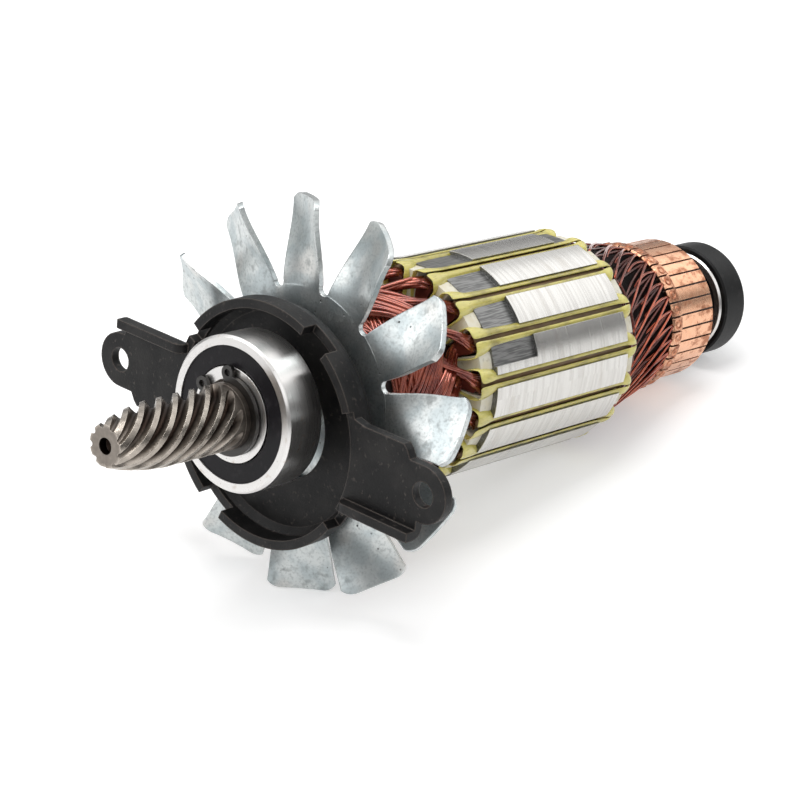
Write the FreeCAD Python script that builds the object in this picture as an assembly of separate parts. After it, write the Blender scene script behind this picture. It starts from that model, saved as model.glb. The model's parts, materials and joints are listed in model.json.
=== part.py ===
import FreeCAD, Part
import math
import os

# Armature of a hand-held power tool motor, lying at rest on a bench.
# The shaft is drawn along X, pinion towards -X and commutator towards +X, with
# the middle of the drive bearing at the origin. Sizes are millimetres.
# Every piece is then tipped about Y until the fan and the bearing boot both
# touch the bench, so +Z is straight up.

os.makedirs("parts", exist_ok=True)

# Running and seating clearances
running_clearance = 0.05
seal_clearance = 0.3
seat_gap = 0.05
wire_clearance = 0.2

# Shaft
journal_radius = 8.5
core_radius = 8.0
commutator_seat_radius = 6.5
tail_journal_radius = 5.0
shaft_chamfer = 0.6

# Pinion, cut on the end of the shaft
pinion_length = 38.9
pinion_runout = 3.0
pinion_collar = 3.0
pinion_teeth = 9
pinion_crest_radius = 8.4
pinion_root_radius = 6.1
pinion_tip_crest_radius = 5.3
pinion_tip_root_radius = 4.4
pinion_taper_length = 17.0
pinion_lead = 49.5
pinion_tip_angle = 11.0
pinion_crest_share = 0.28
pinion_root_share = 0.62
pinion_root_hollow = 0.5
pinion_steps = 14
centre_hole_radius = 2.1
centre_hole_depth = 4.5

# Retaining ring in front of the drive bearing
ring_thickness = 1.1
ring_gap_to_bearing = 0.3
ring_groove_radius = 7.9
ring_outer_radius = 10.3
ring_lug_radius = 1.9
ring_lug_pitch_radius = 10.9
ring_lug_half_angle = 26.5
ring_lug_hole_radius = 0.9
ring_gap_centre_angle = 58.3

# Drive bearing
drive_bearing_outer_radius = 20.0
drive_bearing_width = 12.0
drive_bearing_pitch_radius = 14.25
drive_ball_radius = 3.3
drive_ball_count = 8
drive_inner_shoulder_radius = 12.2
drive_outer_shoulder_radius = 16.4
drive_seal_recess_radius = 17.44

# Tail bearing
tail_bearing_outer_radius = 15.0
tail_bearing_width = 9.0
tail_bearing_pitch_radius = 10.0
tail_ball_radius = 2.33
tail_ball_count = 7
tail_inner_shoulder_radius = 8.4
tail_outer_shoulder_radius = 11.6
tail_seal_recess_radius = 12.6

# Seals and ring corners, the same on both bearings
seal_recess_depth = 1.5
seal_thickness = 0.8
seal_setback = 0.4
bearing_chamfer = 0.6
race_groove_clearance = 0.2
cage_half_height = 1.1
cage_side = 0.6

# Rubber boot over the tail bearing
boot_wall = 1.7
boot_setback = 0.5
boot_end_gap = 0.3
boot_end_wall = 1.2
boot_corner = 1.0

# Spacer between the drive bearing and the fan, and the fan's hub
spacer_length = 13.0
spacer_radius = 9.65
fan_hub_radius = 12.5
fan_hub_length = 8.0

# Cooling fan, pressed from one sheet
fan_blades = 12
fan_sheet = 1.5
fan_root_radius = 29.0
fan_tip_radius = 51.4
fan_slot_width = 2.8
fan_tip_chord = 19.0
fan_twist = 31.0
fan_lean = 0.9
fan_camber = 1.3
fan_tip_corner = 4.0
fan_blade_angle = 84.0
fan_slot_end_radius = 1.6
fan_slot_end_distance = 30.0
# Share of the blade's length, and share of its twist reached there
fan_twist_curve = [(-0.06, 0.0), (0.08, 0.10), (0.24, 0.34), (0.52, 0.74), (1.0, 1.0)]

# Retainer bracket, pressed from one sheet and loose on the spacer
bracket_sheet = 2.5
bracket_hole_radius = 15.7
bracket_cup_radius = 32.4
bracket_cup_depth = 7.2
bracket_cup_corner = 4.5
bracket_arm_height = 5.8
bracket_arm_start = -24.0
bracket_arm_end = 27.0
bracket_arm_half_width = 10.7
bracket_arm_reach = 48.0
bracket_ear_spacing = 108.4
bracket_ear_radius = 7.4
bracket_ear_hole_radius = 3.25
bracket_flange_top = 12.4
bracket_flange_height = 3.0
bracket_flange_bend = 3.0
bracket_flange_start = 29.0
bracket_flange_rise = 2.6
bracket_arm_corner = 1.2
bracket_flange_end = 53.0
bracket_notch_start = 112.4
bracket_notch_end = 128.0
bracket_notch_height = 3.0
bracket_relief_start = 27.0
bracket_relief_end = 36.3
bracket_station = 8.3
bracket_hang_gap = 0.3
bracket_hang_angle = 287.0
bracket_roll = 1.5
bracket_nod = -2.4
bracket_swing = -1.3

# Insulating sleeve on the shaft
sleeve_wall = 2.0

# Stack of laminations
stack_station = 61.86
stack_length = 56.2
stack_radius = 29.94
slot_count = 16
slot_opening = 3.55
slot_lip = 1.5
slot_shoulder_radius = 27.2
slot_top_width = 6.4
slot_bottom_radius = 16.6
slot_bottom_width = 2.9
slot_bottom_corner = 0.8
tooth_angle = 181.6

# Balance cuts: tooth number, distance from the front face, length, depth, side step
balance_cuts = [
    (12, 0.0, 15.0, 1.3, 0.0),
    (13, 0.0, 14.0, 1.4, 0.0),
    (14, 0.0, 13.0, 1.4, 0.0),
    (15, 0.0, 17.0, 1.0, 2.6),
    (12, 50.2, 6.0, 0.9, 0.0),
]
balance_cut_width = 9.0

# Insulation round the laminations and the coils
end_plate_thickness = 4.6
end_plate_radius = 28.3
end_plate_slot_width = 6.6
end_plate_shoulder_step = 0.4
liner_thickness = 0.4
liner_overhang = 5.3
liner_top_radius = 29.7
liner_slit = 1.2
wedge_width = 2.3
wedge_thickness = 1.3
coil_clearance = 0.1
coil_corner = 1.0
coil_top_radius = 27.3

# Windings outside the stack
front_winding_length = 24.5
front_winding_radius = 24.6
front_bundle_radius = 2.4
front_bundle_reach = 96.0
front_bundle_inner_radius = 15.5
rear_winding_length = 28.14
rear_winding_radius = 26.2
rear_neck_radius = 20.2
lead_radius = 0.48
long_lead_slant = 26.0
short_lead_slant = -12.0
short_lead_share = 0.55

# Commutator
commutator_bars = 32
commutator_radius = 20.3
commutator_track_length = 17.0
riser_length = 4.7
riser_height = 1.2
riser_chamfer = 0.5
bar_depth = 5.0
bar_gap = 0.55
bar_chamfer = 0.7
mica_setback = 0.6
core_overhang = 2.0
tail_shoulder_length = 9.0

# Distances along the shaft that follow from the sizes above
bearing_front = -drive_bearing_width / 2
bearing_rear = drive_bearing_width / 2
pinion_collar_front = bearing_front - pinion_collar
pinion_tip = pinion_collar_front - pinion_length
fan_front = bearing_rear + spacer_length
fan_middle = fan_front + fan_sheet / 2
hub_rear = fan_front + fan_sheet + fan_hub_length
stack_rear = stack_station + stack_length
liner_front = stack_station - liner_overhang
liner_rear = stack_rear + liner_overhang
front_winding_front = liner_front - front_winding_length
riser_front = liner_rear + rear_winding_length
track_front = riser_front + riser_length
track_rear = track_front + commutator_track_length
core_rear = track_rear + core_overhang
tail_bearing_front = core_rear + tail_shoulder_length
tail_bearing_rear = tail_bearing_front + tail_bearing_width
boot_front = tail_bearing_front + boot_setback
boot_rear = tail_bearing_rear + boot_end_gap + boot_end_wall
boot_radius = tail_bearing_outer_radius + boot_wall
sleeve_radius = core_radius + sleeve_wall

shaft_axis = FreeCAD.Vector(1, 0, 0)
origin = FreeCAD.Vector(0, 0, 0)


def point(x, y, z):
    return FreeCAD.Vector(x, y, z)


def polar(x, radius, degrees):
    """Point at a radius and an angle about the shaft, from +Y towards +Z."""
    angle = math.radians(degrees)
    return point(x, radius * math.cos(angle), radius * math.sin(angle))


def turned(profile):
    """Solid of revolution about the shaft from (x, radius) corners."""
    corners = [point(x, 0, radius) for x, radius in profile]
    face = Part.Face(Part.makePolygon(corners + corners[:1]))
    return face.revolve(origin, shaft_axis, 360)


def tube(x_start, x_end, inner, outer):
    return turned([(x_start, inner), (x_end, inner), (x_end, outer), (x_start, outer)])


def about_shaft(shape, degrees):
    copy = shape.copy()
    copy.rotate(origin, shaft_axis, degrees)
    return copy


def ring_of(shape, count, first=0.0):
    """Copies of a shape spaced evenly about the shaft."""
    step = 360.0 / count
    return [about_shaft(shape, first + step * index) for index in range(count)]


def prism(outline, x_start, x_end):
    """Extrusion along X of (y, z) corners."""
    corners = [point(x_start, y, z) for y, z in outline]
    face = Part.Face(Part.makePolygon(corners + corners[:1]))
    return face.extrude(point(x_end - x_start, 0, 0))


def pinion_radii(x):
    """Crest and root radius of the pinion, which shrink along a curve towards its tip."""
    share = min(1.0, max(0.0, (x - pinion_tip) / pinion_taper_length))
    bulge = math.sin(share * math.pi / 2)
    crest = pinion_tip_crest_radius + (pinion_crest_radius - pinion_tip_crest_radius) * bulge
    root = pinion_tip_root_radius + (pinion_root_radius - pinion_tip_root_radius) * bulge
    return crest, root


def pinion_blank():
    """Turned blank of the pinion, rounded off towards its tip."""
    shoulder = pinion_tip + pinion_taper_length
    tip, middle, full = [
        point(x, 0, pinion_radii(x)[0])
        for x in (pinion_tip, (pinion_tip + shoulder) / 2, shoulder)
    ]
    rest = [full, point(pinion_collar_front, 0, pinion_crest_radius), point(pinion_collar_front, 0, 0)]
    rest += [point(pinion_tip, 0, 0), tip]
    edges = [Part.Arc(tip, middle, full).toShape()] + Part.makePolygon(rest).Edges
    return Part.Face(Part.Wire(edges)).revolve(origin, shaft_axis, 360)


def tooth_gap_section(x, root, centre):
    """Outline across the shaft of the gap between two teeth, open past their crests."""
    pitch = 360.0 / pinion_teeth
    narrow = pitch * (1 - pinion_root_share) / 2
    wide = pitch * (1 - pinion_crest_share) / 2
    outer = pinion_crest_radius + 1.5
    flank = root + pinion_root_hollow
    spread = (wide - narrow) / (pinion_crest_radius - pinion_root_radius)
    mouth = narrow + spread * (outer - flank)
    low = [polar(x, flank, centre - narrow), polar(x, root, centre), polar(x, flank, centre + narrow)]
    high = [low[2], polar(x, outer, centre + mouth), polar(x, outer, centre - mouth), low[0]]
    return Part.Wire([Part.Arc(*low).toShape()] + Part.makePolygon(high).Edges)


def tooth_gap():
    """Left-handed helical cut between two teeth, which runs out at the collar."""
    start = pinion_tip - 1.0
    runout_start = pinion_collar_front - pinion_runout
    stations = [start + (runout_start - start) * step / pinion_steps for step in range(pinion_steps + 1)]
    stations += [pinion_collar_front - pinion_runout / 2, pinion_collar_front]
    sections = []
    for x in stations:
        rise = max(0.0, (x - runout_start) / pinion_runout)
        root = pinion_radii(x)[1] + (pinion_crest_radius + 0.2 - pinion_root_radius) * rise
        turn = pinion_tip_angle + 180.0 / pinion_teeth - 360.0 * (x - pinion_tip) / pinion_lead
        sections.append(tooth_gap_section(x, root, turn))
    return Part.makeLoft(sections, True, False)


def armature_shaft():
    """Turned shaft with the left-handed helical pinion cut on its front end."""
    pinion = pinion_blank().cut(ring_of(tooth_gap(), pinion_teeth))
    groove_rear = bearing_front - ring_gap_to_bearing
    groove_front = groove_rear - ring_thickness
    body = turned([
        (pinion_collar_front, 0),
        (pinion_collar_front, journal_radius),
        (groove_front - seat_gap, journal_radius),
        (groove_front - seat_gap, ring_groove_radius),
        (groove_rear + seat_gap, ring_groove_radius),
        (groove_rear + seat_gap, journal_radius),
        (hub_rear, journal_radius),
        (hub_rear, core_radius),
        (riser_front, core_radius),
        (riser_front, commutator_seat_radius),
        (tail_bearing_front, commutator_seat_radius),
        (tail_bearing_front, tail_journal_radius),
        (tail_bearing_rear - shaft_chamfer, tail_journal_radius),
        (tail_bearing_rear, tail_journal_radius - shaft_chamfer),
        (tail_bearing_rear, 0),
    ])
    centre_hole = turned([
        (pinion_tip - 1, 0),
        (pinion_tip - 1, centre_hole_radius),
        (pinion_tip + centre_hole_depth * 0.5, centre_hole_radius),
        (pinion_tip + centre_hole_depth, 0),
    ])
    return body.fuse(pinion).cut(centre_hole).removeSplitter()


def retaining_ring():
    """Open spring ring with two drilled lugs, sprung into the groove."""
    x_end = bearing_front - ring_gap_to_bearing
    x_start = x_end - ring_thickness
    ring = tube(x_start, x_end, ring_groove_radius, ring_outer_radius)
    gap_half_width = ring_lug_pitch_radius * math.sin(math.radians(ring_lug_half_angle)) - ring_lug_radius
    gap = Part.makeBox(ring_thickness + 2, 2 * gap_half_width, 2 * ring_outer_radius)
    gap.translate(point(x_start - 1, -gap_half_width, 0))
    ring = ring.cut(gap)
    for side in (-1, 1):
        centre = polar(x_start, ring_lug_pitch_radius, 90.0 + side * ring_lug_half_angle)
        lug = Part.makeCylinder(ring_lug_radius, ring_thickness, centre, shaft_axis)
        hole = Part.makeCylinder(ring_lug_hole_radius, ring_thickness, centre, shaft_axis)
        ring = ring.fuse(lug).cut(hole)
    journal = tube(x_start - 1, x_end + 1, 0, ring_groove_radius)
    ring = ring.cut(journal).removeSplitter()
    return about_shaft(ring, ring_gap_centre_angle - 90.0)


class Bearing:
    """Sizes of one deep-groove ball bearing and the pieces made from them."""

    def __init__(self, front, width, bore, outer, pitch, ball, count, shoulders, recess):
        self.front = front
        self.rear = front + width
        self.middle = front + width / 2
        self.bore = bore
        self.outer = outer
        self.pitch = pitch
        self.ball = ball
        self.count = count
        self.inner_shoulder, self.outer_shoulder = shoulders
        self.recess = recess

    def race_cutter(self):
        """Ring that cuts the ball track into both rings."""
        radius = self.ball + race_groove_clearance
        return Part.makeTorus(self.pitch, radius, point(self.middle, 0, 0), shaft_axis)

    def inner_ring(self):
        corner = bearing_chamfer
        ring = turned([
            (self.front + corner, self.bore),
            (self.rear - corner, self.bore),
            (self.rear, self.bore + corner),
            (self.rear, self.inner_shoulder),
            (self.front, self.inner_shoulder),
            (self.front, self.bore + corner),
        ])
        return ring.cut(self.race_cutter())

    def outer_ring(self):
        corner = bearing_chamfer
        ring = turned([
            (self.front, self.recess),
            (self.front + seal_recess_depth, self.recess),
            (self.front + seal_recess_depth, self.outer_shoulder),
            (self.rear - seal_recess_depth, self.outer_shoulder),
            (self.rear - seal_recess_depth, self.recess),
            (self.rear, self.recess),
            (self.rear, self.outer - corner),
            (self.rear - corner, self.outer),
            (self.front + corner, self.outer),
            (self.front, self.outer - corner),
        ])
        return ring.cut(self.race_cutter())

    def balls(self):
        ball = Part.makeSphere(self.ball, point(self.middle, self.pitch, 0))
        return ring_of(ball, self.count)

    def cage(self):
        """Band between the rings with a pocket for each ball."""
        half_width = self.ball + cage_side
        band = tube(
            self.middle - half_width,
            self.middle + half_width,
            self.pitch - cage_half_height,
            self.pitch + cage_half_height,
        )
        half_pocket = self.ball + running_clearance
        pocket = Part.makeBox(2 * half_pocket, 2 * half_pocket, 4 * cage_half_height)
        pocket.translate(point(self.middle - half_pocket, -half_pocket, self.pitch - 2 * cage_half_height))
        return band.cut(ring_of(pocket, self.count, -90.0))

    def seal(self, front_side):
        """Rubber-faced disc pressed into the outer ring, with its lip by the inner ring."""
        lip = self.inner_shoulder + seal_clearance
        near = self.front + seal_setback
        if not front_side:
            near = self.rear - seal_setback - seal_thickness
        return tube(near, near + seal_thickness, lip, self.recess)


drive_bearing = Bearing(
    bearing_front, drive_bearing_width, journal_radius, drive_bearing_outer_radius,
    drive_bearing_pitch_radius, drive_ball_radius, drive_ball_count,
    (drive_inner_shoulder_radius, drive_outer_shoulder_radius), drive_seal_recess_radius,
)
tail_bearing = Bearing(
    tail_bearing_front, tail_bearing_width, tail_journal_radius, tail_bearing_outer_radius,
    tail_bearing_pitch_radius, tail_ball_radius, tail_ball_count,
    (tail_inner_shoulder_radius, tail_outer_shoulder_radius), tail_seal_recess_radius,
)


def bearing_boot():
    """Rubber cup pressed over the tail bearing, with eased corners."""
    end_face = boot_rear - boot_end_wall
    corner = boot_corner
    ease = corner * 0.3
    return turned([
        (boot_front, tail_bearing_outer_radius),
        (end_face, tail_bearing_outer_radius),
        (end_face, 0),
        (boot_rear, 0),
        (boot_rear, boot_radius - corner),
        (boot_rear - ease, boot_radius - ease),
        (boot_rear - corner, boot_radius),
        (boot_front + corner / 2, boot_radius),
        (boot_front, boot_radius - corner / 2),
    ])


def blade_section(radius, chord, twist, shift):
    """Outline of a blade at one radius, drawn for a blade that points along +Z."""
    angle = math.radians(twist)
    along = point(-math.sin(angle), -math.cos(angle), 0)
    across = point(math.cos(angle), -math.sin(angle), 0)
    centre = point(fan_middle + shift, 0, radius)
    half = chord / 2
    skin = fan_sheet / 2
    sag = fan_camber * (chord / fan_tip_chord) ** 2 * min(1.0, abs(twist) / fan_twist)

    def place(offset, depth):
        return centre + along * offset + across * depth

    front = [place(-half, -skin), place(0, sag - skin), place(half, -skin)]
    back = [place(half, skin), place(0, sag + skin), place(-half, skin)]
    if sag < 1e-6:
        return Part.makePolygon([front[0], front[2], back[0], back[2], front[0]])
    return Part.Wire([
        Part.Arc(*front).toShape(),
        Part.LineSegment(front[2], back[0]).toShape(),
        Part.Arc(*back).toShape(),
        Part.LineSegment(back[2], front[0]).toShape(),
    ])


def fan_blade():
    """One twisted and cambered blade, rounded at its outer corners."""
    root_chord = 2 * math.pi * fan_root_radius / fan_blades - fan_slot_width
    span = fan_tip_radius - fan_root_radius
    sections = []
    for share, twist_share in fan_twist_curve:
        radius = fan_root_radius + share * span
        chord = root_chord + (fan_tip_chord - root_chord) * max(0.0, share)
        sections.append(blade_section(radius, chord, fan_twist * twist_share, fan_lean * max(0.0, share)))
    blade = Part.makeLoft(sections, True, False)
    sheet = Part.makeBox(2 * fan_tip_chord, fan_tip_chord, fan_tip_radius)
    sheet.translate(point(-fan_tip_chord, -fan_tip_chord / 2, 0))
    corners = [
        edge for edge in sheet.Edges
        if edge.BoundBox.ZMin > fan_tip_radius - 0.1 and edge.BoundBox.XLength > fan_tip_chord
    ]
    sheet = sheet.makeFillet(fan_tip_corner, corners)
    sheet.translate(point(fan_middle, 0, 0))
    sheet.rotate(point(fan_middle, 0, 0), point(0, 0, 1), -fan_twist)
    sheet.translate(point(fan_lean, 0, 0))
    return blade.common(sheet)


def cooling_fan():
    """Disc with twelve blades pressed and twisted out of the same sheet."""
    disc = tube(fan_front, fan_front + fan_sheet, journal_radius, fan_root_radius)
    blades = ring_of(fan_blade(), fan_blades, fan_blade_angle - 90.0)
    slot_end = Part.makeCylinder(
        fan_slot_end_radius, 4 * fan_sheet,
        point(fan_front - fan_sheet, 0, fan_slot_end_distance), shaft_axis,
    )
    between = fan_blade_angle - 90.0 + 180.0 / fan_blades
    fan = disc.fuse(blades).cut(ring_of(slot_end, fan_blades, between))
    return fan.removeSplitter()


def bracket_arm():
    """Arm and ear towards +Y, in the plane of the sheet."""
    ear_centre = bracket_ear_spacing / 2
    fold = bracket_flange_top - bracket_sheet
    inner = bracket_cup_radius - bracket_sheet
    corner = bracket_arm_corner
    arm = prism([
        (inner * math.cos(math.radians(bracket_arm_start)), inner * math.sin(math.radians(bracket_arm_start))),
        (bracket_cup_radius + corner, -bracket_arm_half_width),
        (bracket_arm_reach - corner, -bracket_arm_half_width),
        (bracket_arm_reach, -bracket_arm_half_width + corner),
        (bracket_arm_reach + corner, -bracket_ear_radius),
        (ear_centre, -bracket_ear_radius),
        (ear_centre, bracket_ear_radius),
        (bracket_flange_end, bracket_ear_radius),
        (bracket_flange_end, fold),
        (bracket_flange_start, fold),
        (inner * math.cos(math.radians(bracket_arm_end)), inner * math.sin(math.radians(bracket_arm_end))),
    ], 0, bracket_sheet)
    ear = Part.makeCylinder(bracket_ear_radius, bracket_sheet, point(0, ear_centre, 0), shaft_axis)
    return arm.fuse(ear)


def bracket_flange():
    """Stiffening lip folded forward along the upper edge of an arm."""
    top = bracket_flange_top
    fold = top - bracket_sheet
    back = bracket_sheet
    bend = bracket_flange_bend
    lip_front = -bracket_flange_height
    middle = bend * (1 - math.sqrt(0.5))
    start = bracket_flange_start

    def corner(x, z):
        return point(x, start, z)

    bend_low = corner(back, top - bend)
    bend_high = corner(back - bend, top)
    outline = [corner(back - bend, top), corner(lip_front, top), corner(lip_front, fold), corner(0, fold)]
    outline += [corner(0, fold - bend), corner(back, fold - bend), bend_low]
    curve = Part.Arc(bend_low, corner(back - middle, top - middle), bend_high).toShape()
    face = Part.Face(Part.Wire([curve] + Part.makePolygon(outline).Edges))
    flange = face.extrude(point(0, bracket_flange_end - start, 0))
    front_corners = [
        edge for edge in flange.Edges
        if edge.BoundBox.XMax < lip_front + 0.01 and edge.BoundBox.YLength < 0.01
        and edge.BoundBox.YMin < start + 0.01
    ]
    return flange.makeFillet(bracket_flange_rise, front_corners)


def sector(inner, outer, x_start, x_end, start, end):
    """Part of a tube between two angles about its axis."""
    corners = [
        point(x_start, 0, inner), point(x_end, 0, inner),
        point(x_end, 0, outer), point(x_start, 0, outer),
    ]
    face = Part.Face(Part.makePolygon(corners + corners[:1]))
    piece = face.revolve(origin, shaft_axis, end - start)
    return about_shaft(piece, start - 90.0)


def retainer_bracket():
    """Pressed cup with two arms, hanging by its hole from the spacer."""
    inner = bracket_cup_radius - bracket_sheet
    base = 0.0
    back = bracket_sheet
    rim = -bracket_cup_depth
    corner = bracket_cup_corner
    cup = turned([
        (base, bracket_hole_radius),
        (back, bracket_hole_radius),
        (back, bracket_cup_radius - corner),
        (back - corner * 0.3, bracket_cup_radius - corner * 0.3),
        (back - corner, bracket_cup_radius),
        (rim, bracket_cup_radius),
        (rim, inner),
        (base - corner * 0.4, inner),
        (base, inner - corner * 0.4),
    ])
    clear = 2 * bracket_sheet
    for half_turn in (0, 180):
        for start, end, height in (
            (bracket_notch_start, bracket_notch_end, bracket_notch_height),
            (bracket_relief_start, bracket_relief_end, bracket_notch_height),
            (bracket_arm_start, bracket_relief_start, bracket_arm_height),
        ):
            cutter = sector(
                inner - clear, bracket_cup_radius + clear,
                rim - 1, -height, start + half_turn, end + half_turn,
            )
            cup = cup.cut(cutter)
    bracket = cup
    hollow = tube(rim - 20, base + 20, 0, inner)
    arm = bracket_arm().fuse(bracket_flange())
    arm.translate(point(-bracket_arm_height, 0, 0))
    hole = Part.makeCylinder(
        bracket_ear_hole_radius, 4 * bracket_sheet,
        point(-bracket_arm_height - bracket_sheet, bracket_ear_spacing / 2, 0), shaft_axis,
    )
    arm = arm.cut(hollow).cut(hole)
    bracket = bracket.fuse([arm, about_shaft(arm, 180)]).removeSplitter()
    bracket = about_shaft(bracket, bracket_roll)
    bracket.rotate(origin, point(0, 0, 1), bracket_swing)
    bracket.rotate(origin, point(0, 1, 0), bracket_nod)
    drop = bracket_hole_radius - spacer_radius - bracket_hang_gap
    place = polar(bearing_rear + bracket_station, drop, bracket_hang_angle)
    bracket.translate(place)
    return bracket


def slot_outline(inset, opening_radius, top_radius, bottom_radius):
    """Corners of a slot on the +Z side, drawn smaller by an inset."""
    mouth = slot_opening / 2 - inset
    wide = slot_top_width / 2 - inset
    narrow = slot_bottom_width / 2 - inset * 0.8
    floor = bottom_radius + inset
    lip = stack_radius - slot_lip - inset
    corner = slot_bottom_corner
    return [
        (-mouth, opening_radius),
        (mouth, opening_radius),
        (mouth, lip),
        (wide, top_radius - inset * 0.4),
        (narrow, floor + corner),
        (narrow - corner, floor),
        (corner - narrow, floor),
        (-narrow, floor + corner),
        (-wide, top_radius - inset * 0.4),
        (-mouth, lip),
    ]


slot_angle = tooth_angle - 90.0 + 180.0 / slot_count


def lamination_stack():
    """Laminations pressed together, with half-closed slots and milled balance cuts."""
    stack = tube(stack_station, stack_rear, sleeve_radius, stack_radius)
    outline = slot_outline(0.0, stack_radius + 2, slot_shoulder_radius, slot_bottom_radius)
    slot = prism(outline, stack_station - 1, stack_rear + 1)
    stack = stack.cut(ring_of(slot, slot_count, slot_angle))
    for tooth, distance, length, depth, side in balance_cuts:
        cut = Part.makeBox(length, balance_cut_width, 3 * depth)
        cut.translate(point(stack_station + distance, side - balance_cut_width / 2, stack_radius - depth))
        angle = tooth_angle - 90.0 + (tooth - 16) * 360.0 / slot_count
        stack = stack.cut(about_shaft(cut, angle))
    return stack


def end_plate(x_start, x_end):
    """Star-shaped insulating plate with an arm on every tooth."""
    plate = tube(x_start, x_end, sleeve_radius, end_plate_radius)
    half = end_plate_slot_width / 2
    shoulder = slot_shoulder_radius - end_plate_shoulder_step
    narrow = slot_bottom_width / 2 + seat_gap
    floor = slot_bottom_radius - seat_gap
    corner = slot_bottom_corner
    slot = prism([
        (-half, end_plate_radius + 3),
        (half, end_plate_radius + 3),
        (half, shoulder),
        (narrow, floor + corner),
        (narrow - corner, floor),
        (corner - narrow, floor),
        (-narrow, floor + corner),
        (-half, shoulder),
    ], x_start - 1, x_end + 1)
    return plate.cut(ring_of(slot, slot_count, slot_angle))


def slot_liners():
    """Paper folded round every slot's coils, with its two flaps closing over them."""
    outer = prism(
        slot_outline(seat_gap, liner_top_radius, slot_shoulder_radius, slot_bottom_radius),
        liner_front, liner_rear,
    )
    inner = prism(
        slot_outline(
            seat_gap + liner_thickness, liner_top_radius - liner_thickness,
            slot_shoulder_radius, slot_bottom_radius,
        ),
        liner_front - 1, liner_rear + 1,
    )
    slit = Part.makeBox(liner_rear - liner_front + 2, liner_slit, 2 * liner_thickness)
    slit.translate(point(liner_front - 1, -liner_slit / 2, liner_top_radius - 1.5 * liner_thickness))
    return ring_of(outer.cut(inner).cut(slit), slot_count, slot_angle)


def slot_wedges():
    """Strip under the flaps that keeps the coils in every slot."""
    top = liner_top_radius - liner_thickness - seat_gap
    strip = Part.makeBox(liner_rear - liner_front, wedge_width, wedge_thickness)
    strip.translate(point(liner_front, -wedge_width / 2, top - wedge_thickness))
    return ring_of(strip, slot_count, slot_angle)


def slot_coils():
    """Coil sides that fill the slots under the wedges."""
    inset = 2 * seat_gap + liner_thickness
    wide = slot_top_width / 2 - inset - coil_clearance
    narrow = slot_bottom_width / 2 - inset
    floor = slot_bottom_radius + inset + coil_clearance
    top = coil_top_radius - inset
    corner = coil_corner
    outline = [
        (corner - wide, top),
        (wide - corner, top),
        (wide - coil_clearance, top - corner),
        (narrow, floor + corner),
        (narrow / 2, floor),
        (-narrow / 2, floor),
        (-narrow, floor + corner),
        (coil_clearance - wide, top - corner),
    ]
    return ring_of(prism(outline, liner_front, liner_rear), slot_count, slot_angle)


def front_winding_profile():
    """Distance and radius along the outer face of the front winding."""
    front = front_winding_front
    length = front_winding_length
    top = front_winding_radius
    low = sleeve_radius
    return [
        (front, low + 1.6),
        (front + 0.06 * length, low + 4.6),
        (front + 0.16 * length, low + 7.4),
        (front + 0.38 * length, top - 3.6),
        (front + 0.70 * length, top - 0.6),
        (front + length, top),
    ]


def profile_radius(profile, x):
    """Radius of a profile at a distance, along straight lines between its points."""
    for (x_one, r_one), (x_two, r_two) in zip(profile, profile[1:]):
        if x_one <= x <= x_two:
            return r_one + (r_two - r_one) * (x - x_one) / (x_two - x_one)
    return profile[-1][1]


def winding_body(profile):
    """Body of a winding round the shaft's sleeve, from the profile of its outer face."""
    ends = [(profile[-1][0], sleeve_radius), (profile[0][0], sleeve_radius)]
    return turned(profile + ends)


def wire_section(centre, direction, radius):
    """Six-sided outline of a wire or a bundle of wires, square to the way it runs."""
    around = direction.cross(centre - point(centre.x, 0, 0))
    around.normalize()
    across = around.cross(direction)
    across.normalize()
    corners = []
    for index in range(6):
        angle = math.radians(60 * index)
        corners.append(centre + (around * math.cos(angle) + across * math.sin(angle)) * radius)
    return Part.makePolygon(corners + corners[:1])


def wire_along(places, radii, first_direction=None):
    """Six-sided wire through the given places."""
    sections = []
    last = len(places) - 1
    for index, place in enumerate(places):
        direction = places[min(index + 1, last)] - places[max(index - 1, 0)]
        if index == 0 and first_direction:
            direction = first_direction
        sections.append(wire_section(place, direction, radii[index]))
    return Part.makeLoft(sections, True, True)


def front_winding_bundles():
    """Bundles of wire that lie side by side across the front winding."""
    profile = front_winding_profile()
    front = front_winding_front + 0.12 * front_winding_length
    rear = liner_front - wire_clearance
    steps = 6
    places = []
    radii = []
    for index in range(steps + 1):
        share = index / steps
        x = rear + (front - rear) * share
        thick = front_bundle_radius * (1.0 - 0.42 * share)
        radii.append(thick)
        places.append(polar(x, profile_radius(profile, x) + 0.85 * thick, front_bundle_reach * share ** 1.2))
    bundle = wire_along(places, radii, -shaft_axis)
    bundle = bundle.cut(winding_body(profile))
    return ring_of(bundle, slot_count, slot_angle + 90.0)


def rear_winding_profile():
    """Distance and radius along the outer face of the rear winding."""
    front = liner_rear
    length = rear_winding_length
    drop = rear_winding_radius - rear_neck_radius
    return [
        (front, rear_winding_radius - 0.6),
        (front + 0.08 * length, rear_winding_radius),
        (front + 0.45 * length, rear_winding_radius - 0.55 * drop),
        (front + length - 0.4, rear_neck_radius),
    ]


def commutator_leads():
    """Coil ends that cross over the rear winding, a long one and a short one to each riser."""
    profile = rear_winding_profile()
    front = profile[1][0]
    rear = profile[-1][0]
    steps = 5
    leads = []
    for layer, slant, share in ((0, short_lead_slant, short_lead_share), (1, long_lead_slant, 1.0)):
        lift = lead_radius + wire_clearance + layer * (2 * lead_radius + wire_clearance)
        places = []
        for index in range(steps + 1):
            part = share * (1 - index / steps)
            x = rear + (front - rear) * part
            places.append(polar(x, profile_radius(profile, x) + lift, tooth_angle + slant * part / share))
        lead = wire_along(places, [lead_radius] * len(places))
        leads += ring_of(lead, commutator_bars)
    return leads


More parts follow.
